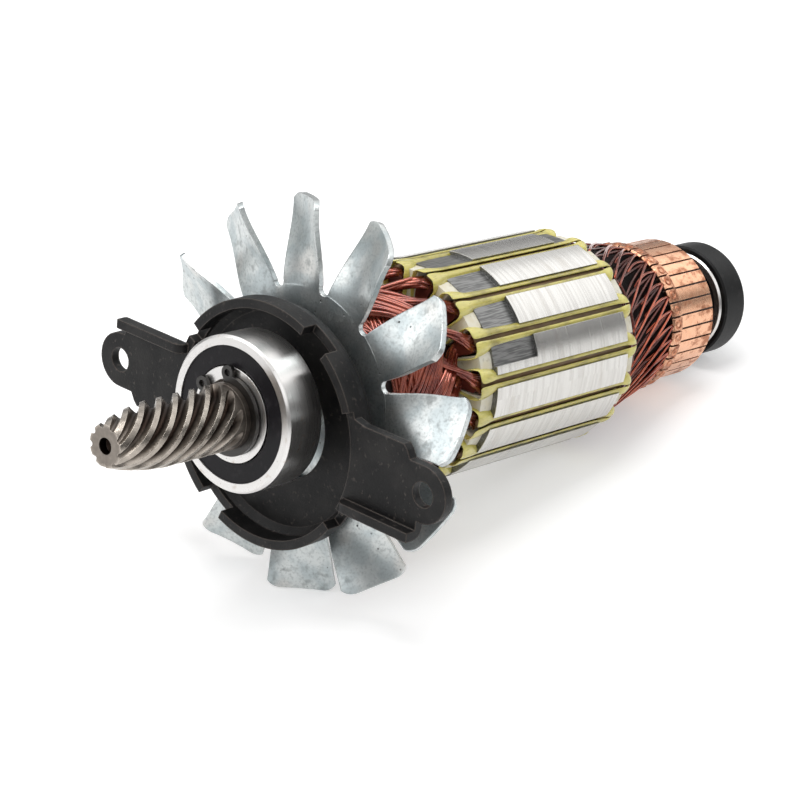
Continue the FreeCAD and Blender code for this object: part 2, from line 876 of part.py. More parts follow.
def commutator_bar_set():
    """Copper bars with raised risers where the leads are fused on."""
    inner = commutator_radius - bar_depth
    outer = commutator_radius
    riser = commutator_radius + riser_height
    angle = 360.0 / commutator_bars - math.degrees(bar_gap / commutator_radius)
    corners = [
        point(riser_front, 0, inner),
        point(riser_front, 0, riser - riser_chamfer),
        point(riser_front + riser_chamfer, 0, riser),
        point(track_front - riser_chamfer, 0, riser),
        point(track_front, 0, outer),
        point(track_rear - bar_chamfer, 0, outer),
        point(track_rear, 0, outer - bar_chamfer),
        point(track_rear, 0, inner),
    ]
    face = Part.Face(Part.makePolygon(corners + corners[:1]))
    bar = face.revolve(origin, shaft_axis, angle)
    return ring_of(bar, commutator_bars, tooth_angle - 90.0 - angle / 2)


def commutator_separators():
    """Thin insulating segments between the bars, cut back below the track."""
    inner = commutator_radius - bar_depth
    angle = math.degrees(bar_gap / commutator_radius)
    corners = [
        point(riser_front, 0, inner),
        point(riser_front, 0, commutator_radius - mica_setback),
        point(track_rear, 0, commutator_radius - mica_setback),
        point(track_rear, 0, inner),
    ]
    face = Part.Face(Part.makePolygon(corners + corners[:1]))
    segment = face.revolve(origin, shaft_axis, angle)
    half_step = 180.0 / commutator_bars
    return ring_of(segment, commutator_bars, tooth_angle - 90.0 + half_step - angle / 2)


def commutator_core():
    """Moulded body that holds the bars on the shaft."""
    inner = commutator_radius - bar_depth
    return turned([
        (riser_front, commutator_seat_radius),
        (core_rear, commutator_seat_radius),
        (core_rear, inner - 1.5),
        (track_rear, inner),
        (riser_front, inner),
    ])


def rest_tilt(fan, boot):
    """Tip of the shaft, in degrees, at which the fan and the boot both touch a flat bench."""
    low, high = 0.0, 30.0
    for _ in range(24):
        tilt = (low + high) / 2
        levels = []
        for shape in (fan, boot):
            tipped = shape.copy()
            tipped.rotate(origin, point(0, 1, 0), tilt)
            levels.append(tipped.optimalBoundingBox(True, False).ZMin)
        if levels[0] < levels[1]:
            low = tilt
        else:
            high = tilt
    return (low + high) / 2


pieces = {
    "armature_shaft": armature_shaft(),
    "retaining_ring": retaining_ring(),
    "drive_bearing_inner_ring": drive_bearing.inner_ring(),
    "drive_bearing_outer_ring": drive_bearing.outer_ring(),
    "drive_bearing_balls": drive_bearing.balls(),
    "drive_bearing_cage": drive_bearing.cage(),
    "drive_bearing_front_seal": drive_bearing.seal(True),
    "drive_bearing_rear_seal": drive_bearing.seal(False),
    "bearing_spacer": tube(bearing_rear, fan_front, journal_radius, spacer_radius),
    "retainer_bracket": retainer_bracket(),
    "cooling_fan": cooling_fan(),
    "fan_hub": tube(fan_front + fan_sheet, hub_rear, journal_radius, fan_hub_radius),
    "shaft_sleeve": tube(hub_rear, riser_front, core_radius, sleeve_radius),
    "lamination_stack": lamination_stack(),
    "front_end_plate": end_plate(stack_station - end_plate_thickness, stack_station),
    "rear_end_plate": end_plate(stack_rear, stack_rear + end_plate_thickness),
    "slot_liners": slot_liners(),
    "slot_wedges": slot_wedges(),
    "slot_coils": slot_coils(),
    "front_winding": winding_body(front_winding_profile()),
    "front_winding_bundles": front_winding_bundles(),
    "rear_winding": winding_body(rear_winding_profile()),
    "commutator_leads": commutator_leads(),
    "commutator_bars": commutator_bar_set(),
    "commutator_separators": commutator_separators(),
    "commutator_core": commutator_core(),
    "tail_bearing_inner_ring": tail_bearing.inner_ring(),
    "tail_bearing_outer_ring": tail_bearing.outer_ring(),
    "tail_bearing_balls": tail_bearing.balls(),
    "tail_bearing_cage": tail_bearing.cage(),
    "tail_bearing_front_seal": tail_bearing.seal(True),
    "tail_bearing_rear_seal": tail_bearing.seal(False),
    "bearing_boot": bearing_boot(),
}

tilt = rest_tilt(pieces["cooling_fan"], pieces["bearing_boot"])
print("tilt", round(tilt, 4))

for name, piece in pieces.items():
    shape = Part.makeCompound(piece) if isinstance(piece, list) else piece
    shape.rotate(origin, point(0, 1, 0), tilt)
    box = shape.BoundBox
    print(name, len(shape.Solids), shape.isValid(), round(shape.Volume, 1), round(box.ZMin, 2))
    shape.exportStep(f"parts/{name}.step")
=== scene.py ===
"""Looks of a motor armature, built round its fixed frame."""
import json
import logging
import math
import random
from dataclasses import dataclass
from enum import Enum
from typing import Any, ClassVar, Iterable, Sequence

import bpy
from mathutils import Matrix, Vector


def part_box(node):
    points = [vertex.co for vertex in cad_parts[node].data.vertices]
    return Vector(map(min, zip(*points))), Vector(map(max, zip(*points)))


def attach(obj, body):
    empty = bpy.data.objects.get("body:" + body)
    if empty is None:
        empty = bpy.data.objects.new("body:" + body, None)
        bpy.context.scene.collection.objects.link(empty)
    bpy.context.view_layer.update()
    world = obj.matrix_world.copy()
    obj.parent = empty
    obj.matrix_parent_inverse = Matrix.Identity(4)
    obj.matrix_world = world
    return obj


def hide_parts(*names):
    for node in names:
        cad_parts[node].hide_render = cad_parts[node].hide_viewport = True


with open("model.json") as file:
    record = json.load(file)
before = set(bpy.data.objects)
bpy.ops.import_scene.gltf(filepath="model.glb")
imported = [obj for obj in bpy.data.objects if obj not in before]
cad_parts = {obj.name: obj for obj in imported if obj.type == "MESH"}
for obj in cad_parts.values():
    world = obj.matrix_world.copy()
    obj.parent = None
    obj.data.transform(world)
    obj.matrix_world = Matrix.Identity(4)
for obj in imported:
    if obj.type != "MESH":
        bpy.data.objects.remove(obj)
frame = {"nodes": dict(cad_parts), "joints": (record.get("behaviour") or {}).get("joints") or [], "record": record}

log = logging.getLogger("armature")

MM = 0.001
PICTURE_SIDE = 800
SENSOR_MM = 36.0
TOOTH_ANGLE = 181.6
WINDING_DOME = ((0.0, 10.8), (0.12, 14.2), (0.34, 17.8), (0.62, 19.9), (1.0, 20.6))
REAR_DRUM = ((0.0, 26.2), (0.45, 22.9), (1.0, 20.2))

Triple = tuple[float, float, float]
Colour = Triple
MeshPart = tuple[list[Vector], list[tuple[int, ...]]]


class Body(Enum):
    """Bodies of the frame that pieces ride on."""

    ROTOR = "rotor"


@dataclass(frozen=True)
class ShaftFrame:
    """Places about the tipped shaft, in millimetres and degrees.

    Angles run about the shaft from the +Y side towards the top.
    """

    along: Vector
    side: Vector
    up: Vector

    @classmethod
    def from_joint(cls, joint: dict[str, Any]) -> "ShaftFrame":
        """Reads the shaft's direction from a joint that turns about it.

        Args:
            joint: A joint of the frame.

        Returns:
            The frame about that joint's axis.
        """
        along = Vector(joint["axis"]).normalized()
        side = Vector((0.0, 1.0, 0.0))
        return cls(along, side, along.cross(side))

    def point(self, x: float, radius: float, angle: float) -> Vector:
        """Place at a distance along the shaft, a radius and an angle.

        Args:
            x: Distance along the shaft, in millimetres.
            radius: Distance from the shaft's axis, in millimetres.
            angle: Angle about the shaft, in degrees.

        Returns:
            The place in metres.
        """
        turn = math.radians(angle)
        across = self.side * math.cos(turn) + self.up * math.sin(turn)
        return (self.along * x + across * radius) * MM


class Value:
    """A shader socket that carries a number, with arithmetic that adds Math nodes."""

    def __init__(self, shader: "Nodes", socket: bpy.types.NodeSocket) -> None:
        """Wraps one output socket of a shader."""
        self.shader = shader
        self.socket = socket

    def math(self, operation: str, *others: "Value | float", first: "float | None" = None) -> "Value":
        """Adds one Math node.

        Args:
            operation: Name of the Math operation.
            others: Operands after this value.
            first: A number that goes before this value.

        Returns:
            The node's result.
        """
        operands = [self, *others] if first is None else [first, self, *others]
        return self.shader.value("ShaderNodeMath", {"operation": operation}, dict(enumerate(operands)))

    def __add__(self, other: "Value | float") -> "Value":
        """Sum."""
        return self.math("ADD", other)

    __radd__ = __add__

    def __sub__(self, other: "Value | float") -> "Value":
        """Difference."""
        return self.math("SUBTRACT", other)

    def __rsub__(self, other: float) -> "Value":
        """Difference from a number."""
        return self.math("SUBTRACT", first=other)

    def __mul__(self, other: "Value | float") -> "Value":
        """Product."""
        return self.math("MULTIPLY", other)

    __rmul__ = __mul__

    def __truediv__(self, other: "Value | float") -> "Value":
        """Quotient."""
        return self.math("DIVIDE", other)

    def ease(self, low: float, high: float) -> "Value":
        """Smooth step from 0 at one value to 1 at another.

        Args:
            low: Where the result is 0.
            high: Where the result is 1.

        Returns:
            The eased value.
        """
        settings = {"interpolation_type": "SMOOTHSTEP"}
        inputs = {"Value": self, "From Min": low, "From Max": high}
        if low > high:
            inputs = {"Value": self, "From Min": high, "From Max": low, "To Min": 1.0, "To Max": 0.0}
        return self.shader.value("ShaderNodeMapRange", settings, inputs)


class Nodes:
    """Nodes of a material or of the surroundings."""

    def __init__(self, owner: "bpy.types.Material | bpy.types.World") -> None:
        """Starts with no nodes.

        Args:
            owner: The material or the world that holds the nodes.
        """
        owner.use_nodes = True
        self.tree = owner.node_tree
        self.tree.nodes.clear()

    def node(
        self,
        kind: str,
        settings: "dict[str, Any] | None" = None,
        inputs: "dict[str | int, Any] | None" = None,
    ) -> bpy.types.Node:
        """Adds a node.

        Args:
            kind: The node's type.
            settings: What is set on the node first; "stops" sets a ramp's colours.
            inputs: Numbers, colours, links or values for its sockets.

        Returns:
            The new node.
        """
        made = self.tree.nodes.new(kind)
        for name, setting in (settings or {}).items():
            if name == "stops":
                self.set_stops(made, setting)
            else:
                setattr(made, name, setting)
        for key, given in (inputs or {}).items():
            socket = made.inputs[key]
            source = given.socket if isinstance(given, Value) else given
            if isinstance(source, bpy.types.NodeSocket):
                self.tree.links.new(source, socket)
            elif socket.type == "RGBA" and len(source) == 3:
                socket.default_value = (*source, 1.0)
            else:
                socket.default_value = source
        return made

    @staticmethod
    def set_stops(ramp_node: bpy.types.Node, stops: Sequence[tuple[float, Colour]]) -> None:
        """Sets the stops of a colour ramp.

        Args:
            ramp_node: The ramp.
            stops: Positions and colours, in order.
        """
        elements = ramp_node.color_ramp.elements
        while len(elements) < len(stops):
            elements.new(1.0)
        for element, (position, colour) in zip(elements, stops):
            element.position = position
            element.color = (*colour, 1.0)

    def value(self, kind: str, settings: "dict[str, Any]", inputs: "dict[Any, Any]") -> Value:
        """Adds a node and wraps its first output."""
        return Value(self, self.node(kind, settings, inputs).outputs[0])

    def mix(self, factor: "Value | float", first: Any, second: Any) -> bpy.types.NodeSocket:
        """Mixes two colours.

        Args:
            factor: Share of the second colour.
            first: A colour or a link.
            second: A colour or a link.

        Returns:
            The mixed colour.
        """
        made = self.node("ShaderNodeMix", {"data_type": "RGBA"}, {"Factor": factor, 6: first, 7: second})
        return made.outputs[2]

    def seen_ray(self) -> Value:
        """1 on rays that the camera or a shiny or clear surface sends out.

        Returns:
            The mask, 0 on other rays.
        """
        rays = self.node("ShaderNodeLightPath").outputs
        seen = Value(self, rays["Is Camera Ray"])
        for name in ("Is Glossy Ray", "Is Transmission Ray"):
            seen = seen.math("MAXIMUM", Value(self, rays[name]))
        return seen


class Shader(Nodes):
    """One material's nodes, with places about the shaft."""

    def __init__(self, name: str, frame_of_shaft: ShaftFrame) -> None:
        """Starts an empty material.

        Args:
            name: The material's name.
            frame_of_shaft: The shaft's frame.
        """
        self.material = bpy.data.materials.new(name)
        super().__init__(self.material)
        self.shaft = frame_of_shaft
        self.place = self.node("ShaderNodeVectorMath", {"operation": "SCALE"}, {
            0: self.node("ShaderNodeTexCoord").outputs["Object"],
            "Scale": 1.0 / MM,
        }).outputs[0]

    def noise(self, size: float, detail: float = 2.0, stretch: "Triple | None" = None) -> Value:
        """Soft noise from 0 to 1, even in all directions or stretched.

        Args:
            size: Size of its features in millimetres.
            detail: How many finer layers it has.
            stretch: How much longer its features are along, beside and above the shaft.

        Returns:
            The noise.
        """
        place = self.shaft_place(stretch) if stretch else self.place
        made = self.node("ShaderNodeTexNoise", {}, {"Vector": place, "Scale": 1.0 / size, "Detail": detail})
        return Value(self, made.outputs["Fac"])

    def cells(self, size: float) -> Value:
        """Distance to the nearest of scattered points, in shares of their spacing."""
        made = self.node("ShaderNodeTexVoronoi", {}, {"Vector": self.place, "Scale": 1.0 / size})
        return Value(self, made.outputs["Distance"])

    def reach(self, direction: Vector) -> Value:
        """Distance along a direction, in millimetres.

        Args:
            direction: The direction, of length 1.

        Returns:
            The distance.
        """
        made = self.node(
            "ShaderNodeVectorMath", {"operation": "DOT_PRODUCT"}, {0: self.place, 1: tuple(direction)},
        )
        return Value(self, made.outputs["Value"])

    def along(self) -> Value:
        """Distance along the shaft, in millimetres."""
        return self.reach(self.shaft.along)

    def radius(self) -> Value:
        """Distance from the shaft's axis, in millimetres.

        Returns:
            The distance.
        """
        side = self.reach(self.shaft.side)
        up = self.reach(self.shaft.up)
        return (side * side + up * up).math("SQRT")

    def angle(self) -> Value:
        """Angle about the shaft, in degrees."""
        turn = self.reach(self.shaft.up).math("ARCTAN2", self.reach(self.shaft.side))
        return turn * math.degrees(1.0)

    def shaft_place(self, stretch: Triple) -> bpy.types.NodeSocket:
        """Place along, beside and above the shaft, squeezed by a stretch.

        Args:
            stretch: How much longer features are along, beside and above the shaft.

        Returns:
            The squeezed place.
        """
        parts = [
            self.reach(axis) / amount
            for axis, amount in zip((self.shaft.along, self.shaft.side, self.shaft.up), stretch)
        ]
        return self.node("ShaderNodeCombineXYZ", {}, dict(enumerate(parts))).outputs[0]

    def round_place(self, length: float, width: float) -> bpy.types.NodeSocket:
        """Place by distance along the shaft, radius and angle, for marks that run round it.

        Args:
            length: Size of a feature round the shaft, in degrees.
            width: Size of a feature along the shaft and its radius, in millimetres.

        Returns:
            The place.
        """
        parts = {0: self.along() / width, 1: self.radius() / width, 2: self.angle() / length}
        return self.node("ShaderNodeCombineXYZ", {}, parts).outputs[0]

    def marks(self, vector: bpy.types.NodeSocket, detail: float) -> Value:
        """Soft noise from 0 to 1 over a place that is already squeezed."""
        made = self.node("ShaderNodeTexNoise", {}, {"Vector": vector, "Scale": 1.0, "Detail": detail})
        return Value(self, made.outputs["Fac"])

    def rounded(self, radius: float) -> bpy.types.NodeSocket:
        """Normal as if hard edges had a radius in millimetres."""
        return self.node("ShaderNodeBevel", {"samples": 6}, {"Radius": radius * MM}).outputs[0]

    def edges(self, width: float) -> Value:
        """Mask of outer and inner edges, 1 at the edge.

        Args:
            width: Width of the edge in millimetres.

        Returns:
            The mask.
        """
        rounded = self.rounded(width)
        flat = self.node("ShaderNodeNewGeometry").outputs["Normal"]
        same = self.node("ShaderNodeVectorMath", {"operation": "DOT_PRODUCT"}, {0: rounded, 1: flat})
        return (1.0 - Value(self, same.outputs["Value"])).ease(0.01, 0.22)

    def bump(self, height: Value, depth: float, rounding: float = 0.0) -> bpy.types.NodeSocket:
        """Normal of a relief.

        Args:
            height: The relief, from 0 to 1.
            depth: Its depth in millimetres.
            rounding: Radius in millimetres that hard edges seem to have.

        Returns:
            The normal.
        """
        inputs: dict[Any, Any] = {"Height": height, "Distance": depth * MM, "Strength": 1.0}
        if rounding:
            inputs["Normal"] = self.rounded(rounding)
        return self.node("ShaderNodeBump", {}, inputs).outputs[0]

    def surface(self, **sockets: Any) -> bpy.types.Material:
        """Ends the material in one principled surface.

        Args:
            sockets: Values by socket, with words joined by low lines.

        Returns:
            The finished material.
        """
        inputs = {
            name.replace("_", " ").title().replace("Ior", "IOR"): given
            for name, given in sockets.items()
        }
        skin = self.node("ShaderNodeBsdfPrincipled", {}, inputs)
        self.node("ShaderNodeOutputMaterial", {}, {"Surface": skin.outputs[0]})
        return self.material


@dataclass(frozen=True)
class Finish:
    """A finish that one or more pieces wear."""

    shaft: ShaftFrame
    name: str

    def start(self) -> Shader:
        """Starts this finish's material."""
        return Shader(self.name, self.shaft)


@dataclass(frozen=True)
class OiledSteel(Finish):
    """Machined shaft and pinion, dark brown towards the roots of the teeth and bright on their crests, with a
    painted highlight along the edges.
    """

    tip: float
    rear: float
    runout_start: float = 1.5
    runout_end: float = 7.0
    bright: Colour = (0.50, 0.45, 0.395)
    dull: Colour = (0.034, 0.023, 0.018)
    tip_radius: float = 5.5
    crest_radius: float = 8.35
    taper: float = 0.235
    tooth_depth: float = 1.9

    def material(self) -> bpy.types.Material:
        """Builds the finish.

        Returns:
            The finish's material.
        """
        shader = self.start()
        film = shader.noise(1.6, 4.0)
        crisp = shader.along().ease(self.rear - self.runout_start, self.rear - self.runout_end)
        crest_line = (shader.along() - self.tip) * self.taper + self.tip_radius
        crest_line = crest_line.math("MINIMUM", self.crest_radius)
        depth = (shader.radius() - crest_line).ease(-self.tooth_depth, -0.1)
        face = shader.along().ease(self.tip + 0.6, self.tip + 0.1) * shader.radius().ease(2.0, 2.3)
        depth = depth.math("MAXIMUM", face * 0.6)
        # Share of the bright colour: high on the crests, and on the edges, where it is a painted highlight.
        crests_and_edge_highlight = depth * (crisp * 0.55 + 0.25) + shader.edges(0.45) * crisp * 0.25
        bright_share = crests_and_edge_highlight * (0.45 + 0.9 * film)
        streak = shader.marks(shader.round_place(30.0, 0.12), 2.0)
        colour = shader.mix(bright_share.math("MINIMUM", 1.0), self.dull, self.bright)
        # Painted highlight: a pale line along the edges of the machined teeth.
        colour = shader.mix(shader.edges(0.34) * crisp * 0.15, colour, (0.66, 0.63, 0.58))
        return shader.surface(
            base_color=colour,
            metallic=1.0,
            roughness=0.46 - 0.2 * depth * crisp + 0.18 * (film - 0.5),
            normal=shader.bump(streak + film * 0.6, 0.02, 0.12),
        )


@dataclass(frozen=True)
class GroundSteel(Finish):
    """Bearing rings ground bright, with fine lines round them."""

    colour: Colour = (0.70, 0.685, 0.67)
    stain: Colour = (0.45, 0.36, 0.28)
    roughness: float = 0.29

    def material(self) -> bpy.types.Material:
        """Builds the finish.

        Returns:
            The finish's material.
        """
        shader = self.start()
        lines = shader.marks(shader.round_place(70.0, 0.10), 3.0)
        stains = shader.noise(3.0, 5.0).ease(0.60, 0.75) * 0.5
        specks = shader.cells(1.7).ease(0.10, 0.05)
        colour = shader.mix(stains, self.colour, self.stain)
        colour = shader.mix(specks * 0.6, colour, (0.16, 0.12, 0.10))
        return shader.surface(
            base_color=colour,
            metallic=1.0,
            roughness=self.roughness + 0.12 * (lines - 0.5) + 0.2 * stains,
            normal=shader.bump(lines, 0.006, 0.25),
        )


@dataclass(frozen=True)
class BlackSheet(Finish):
    """Matt black pressed steel, rubbed to brown and grey along its edges."""

    colour: Colour = (0.0062, 0.0060, 0.0064)
    crests_and_edge_highlight: Colour = (0.11, 0.092, 0.080)

    def material(self) -> bpy.types.Material:
        """Builds the finish.

        Returns:
            The finish's material.
        """
        shader = self.start()
        grain = shader.noise(0.5, 3.0)
        cloud = shader.noise(9.0, 3.0)
        scuff = shader.noise(1.4, 5.0).ease(0.60, 0.72)
        edge = shader.edges(0.7) * (0.35 + 0.9 * grain)
        tone = shader.mix(cloud.ease(0.35, 0.7), self.colour, (0.017, 0.016, 0.0155))
        colour = shader.mix((edge + scuff * 0.35).math("MINIMUM", 1.0), tone, self.crests_and_edge_highlight)
        return shader.surface(
            base_color=colour,
            metallic=0.15,
            specular_ior_level=0.27,
            roughness=0.50 + 0.22 * (grain - 0.5) - 0.12 * edge,
            normal=shader.bump(grain + scuff * 0.4, 0.05, 0.5),
        )


@dataclass(frozen=True)
class ZincPlate(Finish):
    """Zinc-plated sheet with a faint blue cast, small dark pits and painted highlights along its edges."""

    colour: Colour = (0.62, 0.65, 0.645)
    warm: Colour = (0.64, 0.62, 0.59)
    cool: Colour = (0.47, 0.52, 0.53)

    def material(self) -> bpy.types.Material:
        """Builds the finish.

        Returns:
            The finish's material.
        """
        shader = self.start()
        cloud = shader.noise(7.0, 4.0)
        grain = shader.noise(0.7, 4.0)
        pits = shader.cells(4.2).ease(0.085, 0.045) * shader.noise(6.0, 1.0).ease(0.45, 0.55)
        tint = shader.mix(cloud.ease(0.42, 0.62), self.colour, self.cool)
        tint = shader.mix(shader.noise(12.0, 1.0).ease(0.55, 0.7) * 0.6, tint, self.warm)
        colour = shader.mix(grain.ease(0.45, 0.72) * 0.5, tint, (0.30, 0.33, 0.335))
        smudge = shader.noise(2.4, 5.0).ease(0.54, 0.70)
        colour = shader.mix(smudge * 0.45, colour, (0.24, 0.26, 0.26))
        colour = shader.mix(pits * 0.85, colour, (0.06, 0.06, 0.06))
        # Painted highlight: the edges are mixed towards a pale silver.
        edge = shader.edges(0.35)
        colour = shader.mix(edge * 0.5, colour, (0.8, 0.82, 0.82))
        return shader.surface(
            base_color=colour,
            metallic=0.9,
            roughness=0.33 + 0.16 * (grain - 0.5) + 0.12 * smudge + 0.2 * pits - 0.1 * edge,
            normal=shader.bump(grain * 0.5 + cloud - pits, 0.05, 0.4),
        )


@dataclass(frozen=True)
class Laminations(Finish):
    """Edges of stacked laminations, turned bright, with dull milled balance cuts."""

    outer_radius: float
    pitch: float = 0.5
    bright: Colour = (0.62, 0.61, 0.585)
    milled: Colour = (0.15, 0.15, 0.148)

    def material(self) -> bpy.types.Material:
        """Builds the finish.

        Returns:
            The finish's material.
        """
        shader = self.start()
        x = shader.along()
        sheets = (x * (2.0 * math.pi / self.pitch)).math("SINE") * 0.5 + 0.5
        bands = shader.marks(shader.round_place(40.0, 0.9), 3.0)
        smear = shader.noise(2.2, 4.0, (1.0, 5.0, 5.0))
        skin = shader.radius().ease(self.outer_radius - 0.22, self.outer_radius - 0.06)
        cut = 1.0 - skin
        marks = shader.marks(shader.shaft_place((6.0, 0.35, 0.35)), 2.0)
        scratches = shader.noise(0.5, 2.0, (0.25, 9.0, 9.0)).ease(0.66, 0.74)
        tone = shader.mix(bands.ease(0.4, 0.65) * 0.55, self.bright, (0.50, 0.485, 0.46))
        tone = shader.mix(smear.ease(0.55, 0.7) * 0.4, tone, (0.47, 0.44, 0.40))
        tone = shader.mix(scratches * 0.5, tone, (0.35, 0.33, 0.31))
        grey = shader.mix(marks.ease(0.4, 0.6), self.milled, (0.27, 0.27, 0.265))
        colour = shader.mix(cut, tone, grey)
        relief = sheets * 0.35 + bands * 0.4 + cut * marks * 2.0
        return shader.surface(
            base_color=colour,
            metallic=0.95,
            roughness=0.22 + 0.2 * (bands - 0.4) + 0.2 * cut,
            normal=shader.bump(relief, 0.012, 0.12),
        )


@dataclass(frozen=True)
class BareCopper(Finish):
    """Turned copper with brushed lines round it, brown stains and painted highlights along its edges."""

    stain_from: float
    stain_to: float
    colour: Colour = (0.83, 0.47, 0.30)
    stain: Colour = (0.34, 0.12, 0.055)

    def material(self) -> bpy.types.Material:
        """Builds the finish.

        Returns:
            The finish's material.
        """
        shader = self.start()
        lines = shader.marks(shader.round_place(60.0, 0.16), 3.0)
        blot = shader.noise(2.4, 6.0, (1.5, 1.0, 1.0))
        fine = shader.noise(0.5, 4.0)
        end = shader.along().ease(self.stain_from, self.stain_to)
        riser = shader.along().ease(self.stain_from + 0.4, self.stain_from - 0.2)
        stained = (blot + end * 0.14 + (fine - 0.5) * 0.22 + (lines - 0.5) * 0.18).ease(0.54, 0.76)
        grimy = riser * (blot * 0.8 + fine * 0.5).ease(0.45, 0.8)
        haze = shader.noise(1.6, 3.0).ease(0.4, 0.75)
        colour = shader.mix(haze * 0.35, self.colour, (0.68, 0.31, 0.17))
        colour = shader.mix(stained * 0.85, colour, self.stain)
        colour = shader.mix(grimy * 0.85, colour, (0.20, 0.06, 0.03))
        # Painted highlight: the edges are mixed towards a pale copper.
        colour = shader.mix(shader.edges(0.2) * 0.45, colour, (0.93, 0.62, 0.45))
        return shader.surface(
            base_color=colour,
            metallic=1.0,
            roughness=0.25 + 0.14 * (lines - 0.5) + 0.16 * stained + 0.12 * grimy,
            normal=shader.bump(lines + fine * grimy, 0.012, 0.12),
        )


@dataclass(frozen=True)
class Enamel(Finish):
    """Enamelled copper wire, red-brown and glossy."""

    colour: Colour = (0.19, 0.030, 0.017)
    pale: Colour = (0.38, 0.085, 0.046)
    metallic: float = 0.6
    roughness: float = 0.17
    coat: float = 0.9

    def material(self) -> bpy.types.Material:
        """Builds the finish.

        Returns:
            The finish's material.
        """
        shader = self.start()
        tone = shader.noise(5.0, 3.0)
        fleck = shader.noise(0.6, 2.0)
        colour = shader.mix(tone.ease(0.35, 0.65), self.colour, self.pale)
        colour = shader.mix(fleck.ease(0.6, 0.8) * 0.4, colour, (0.13, 0.025, 0.015))
        return shader.surface(
            base_color=colour,
            metallic=self.metallic,
            roughness=self.roughness + 0.12 * (fleck - 0.5),
            coat_weight=self.coat,
            coat_roughness=0.05,
            normal=shader.bump(fleck, 0.02),
        )


@dataclass(frozen=True)
class Varnish(Finish):
    """Thick dark varnish over a winding."""

    colour: Colour = (0.003, 0.002, 0.002)
    red: Colour = (0.020, 0.005, 0.0035)

    def material(self) -> bpy.types.Material:
        """Builds the finish.

        Returns:
            The finish's material.
        """
        shader = self.start()
        lumps = shader.noise(2.2, 3.0)
        strands = shader.marks(shader.round_place(16.0, 0.55), 2.0)
        colour = shader.mix(strands.ease(0.52, 0.75) * 0.6, self.colour, self.red)
        return shader.surface(
            base_color=colour,
            roughness=0.45 + 0.25 * lumps,
            specular_ior_level=0.03,
            normal=shader.bump(lumps + strands * 0.8, 0.5),
        )


@dataclass(frozen=True)
class Paper(Finish):
    """Varnished yellow insulating paper, with a painted highlight along its edges."""

    front: float
    rear: float
    colour: Colour = (0.56, 0.49, 0.10)
    dark: Colour = (0.23, 0.19, 0.03)
    pale: Colour = (0.80, 0.72, 0.22)

    def material(self) -> bpy.types.Material:
        """Builds the finish.

        Returns:
            The finish's material.
        """
        shader = self.start()
        blot = shader.noise(3.0, 4.0, (2.0, 1.0, 1.0))
        fibre = shader.noise(0.4, 3.0, (4.0, 1.0, 1.0))
        colour = shader.mix(blot.ease(0.42, 0.7) * 0.75, self.colour, self.dark)
        outside = shader.along().ease(self.front + 1.5, self.front - 2.0)
        outside = outside + shader.along().ease(self.rear, self.rear + 1.5)
        colour = shader.mix(outside * (0.25 + 0.6 * fibre), colour, self.pale)
        # Painted highlight: the paper's edges are mixed towards a pale yellow.
        colour = shader.mix(shader.edges(0.25) * 0.3, colour, (0.84, 0.80, 0.44))
        return shader.surface(
            base_color=colour,
            roughness=0.3 + 0.2 * (fibre - 0.5),
            coat_weight=0.5,
            coat_roughness=0.18,
            subsurface_weight=0.25,
            subsurface_radius=(0.0012, 0.0009, 0.0003),
            subsurface_scale=1.0,
            normal=shader.bump(fibre + blot, 0.06),
        )


@dataclass(frozen=True)
class Plastic(Finish):
    """Moulded or fibre insulation."""

    colour: Colour
    shade: Colour
    roughness: float = 0.45
    depth: float = 0.03

    def material(self) -> bpy.types.Material:
        """Builds the finish.

        Returns:
            The finish's material.
        """
        shader = self.start()
        cloud = shader.noise(4.0, 4.0)
        grain = shader.noise(0.5, 3.0)
        dirt = shader.noise(1.5, 4.0).ease(0.58, 0.72)
        colour = shader.mix(cloud.ease(0.4, 0.7) * 0.6, self.colour, self.shade)
        colour = shader.mix(dirt * 0.35, colour, tuple(part * 0.5 for part in self.shade))
        return shader.surface(
            base_color=colour,
            roughness=self.roughness + 0.15 * (grain - 0.5),
            normal=shader.bump(grain + cloud, self.depth, 0.15),
        )


@dataclass(frozen=True)
class Rubber(Finish):
    """Satin black rubber with a little dust."""

    colour: Colour = (0.0065, 0.0065, 0.0068)
    dust: Colour = (0.034, 0.032, 0.031)
    roughness: float = 0.42

    def material(self) -> bpy.types.Material:
        """Builds the finish.

        Returns:
            The finish's material.
        """
        shader = self.start()
        grain = shader.noise(0.35, 3.0)
        dust = shader.noise(2.5, 5.0).ease(0.52, 0.75)
        colour = shader.mix(dust * 0.55, self.colour, self.dust)
        return shader.surface(
            base_color=colour,
            roughness=self.roughness + 0.2 * (grain - 0.5) + 0.1 * dust,
            specular_ior_level=0.17,
            normal=shader.bump(grain, 0.03, 0.3),
        )


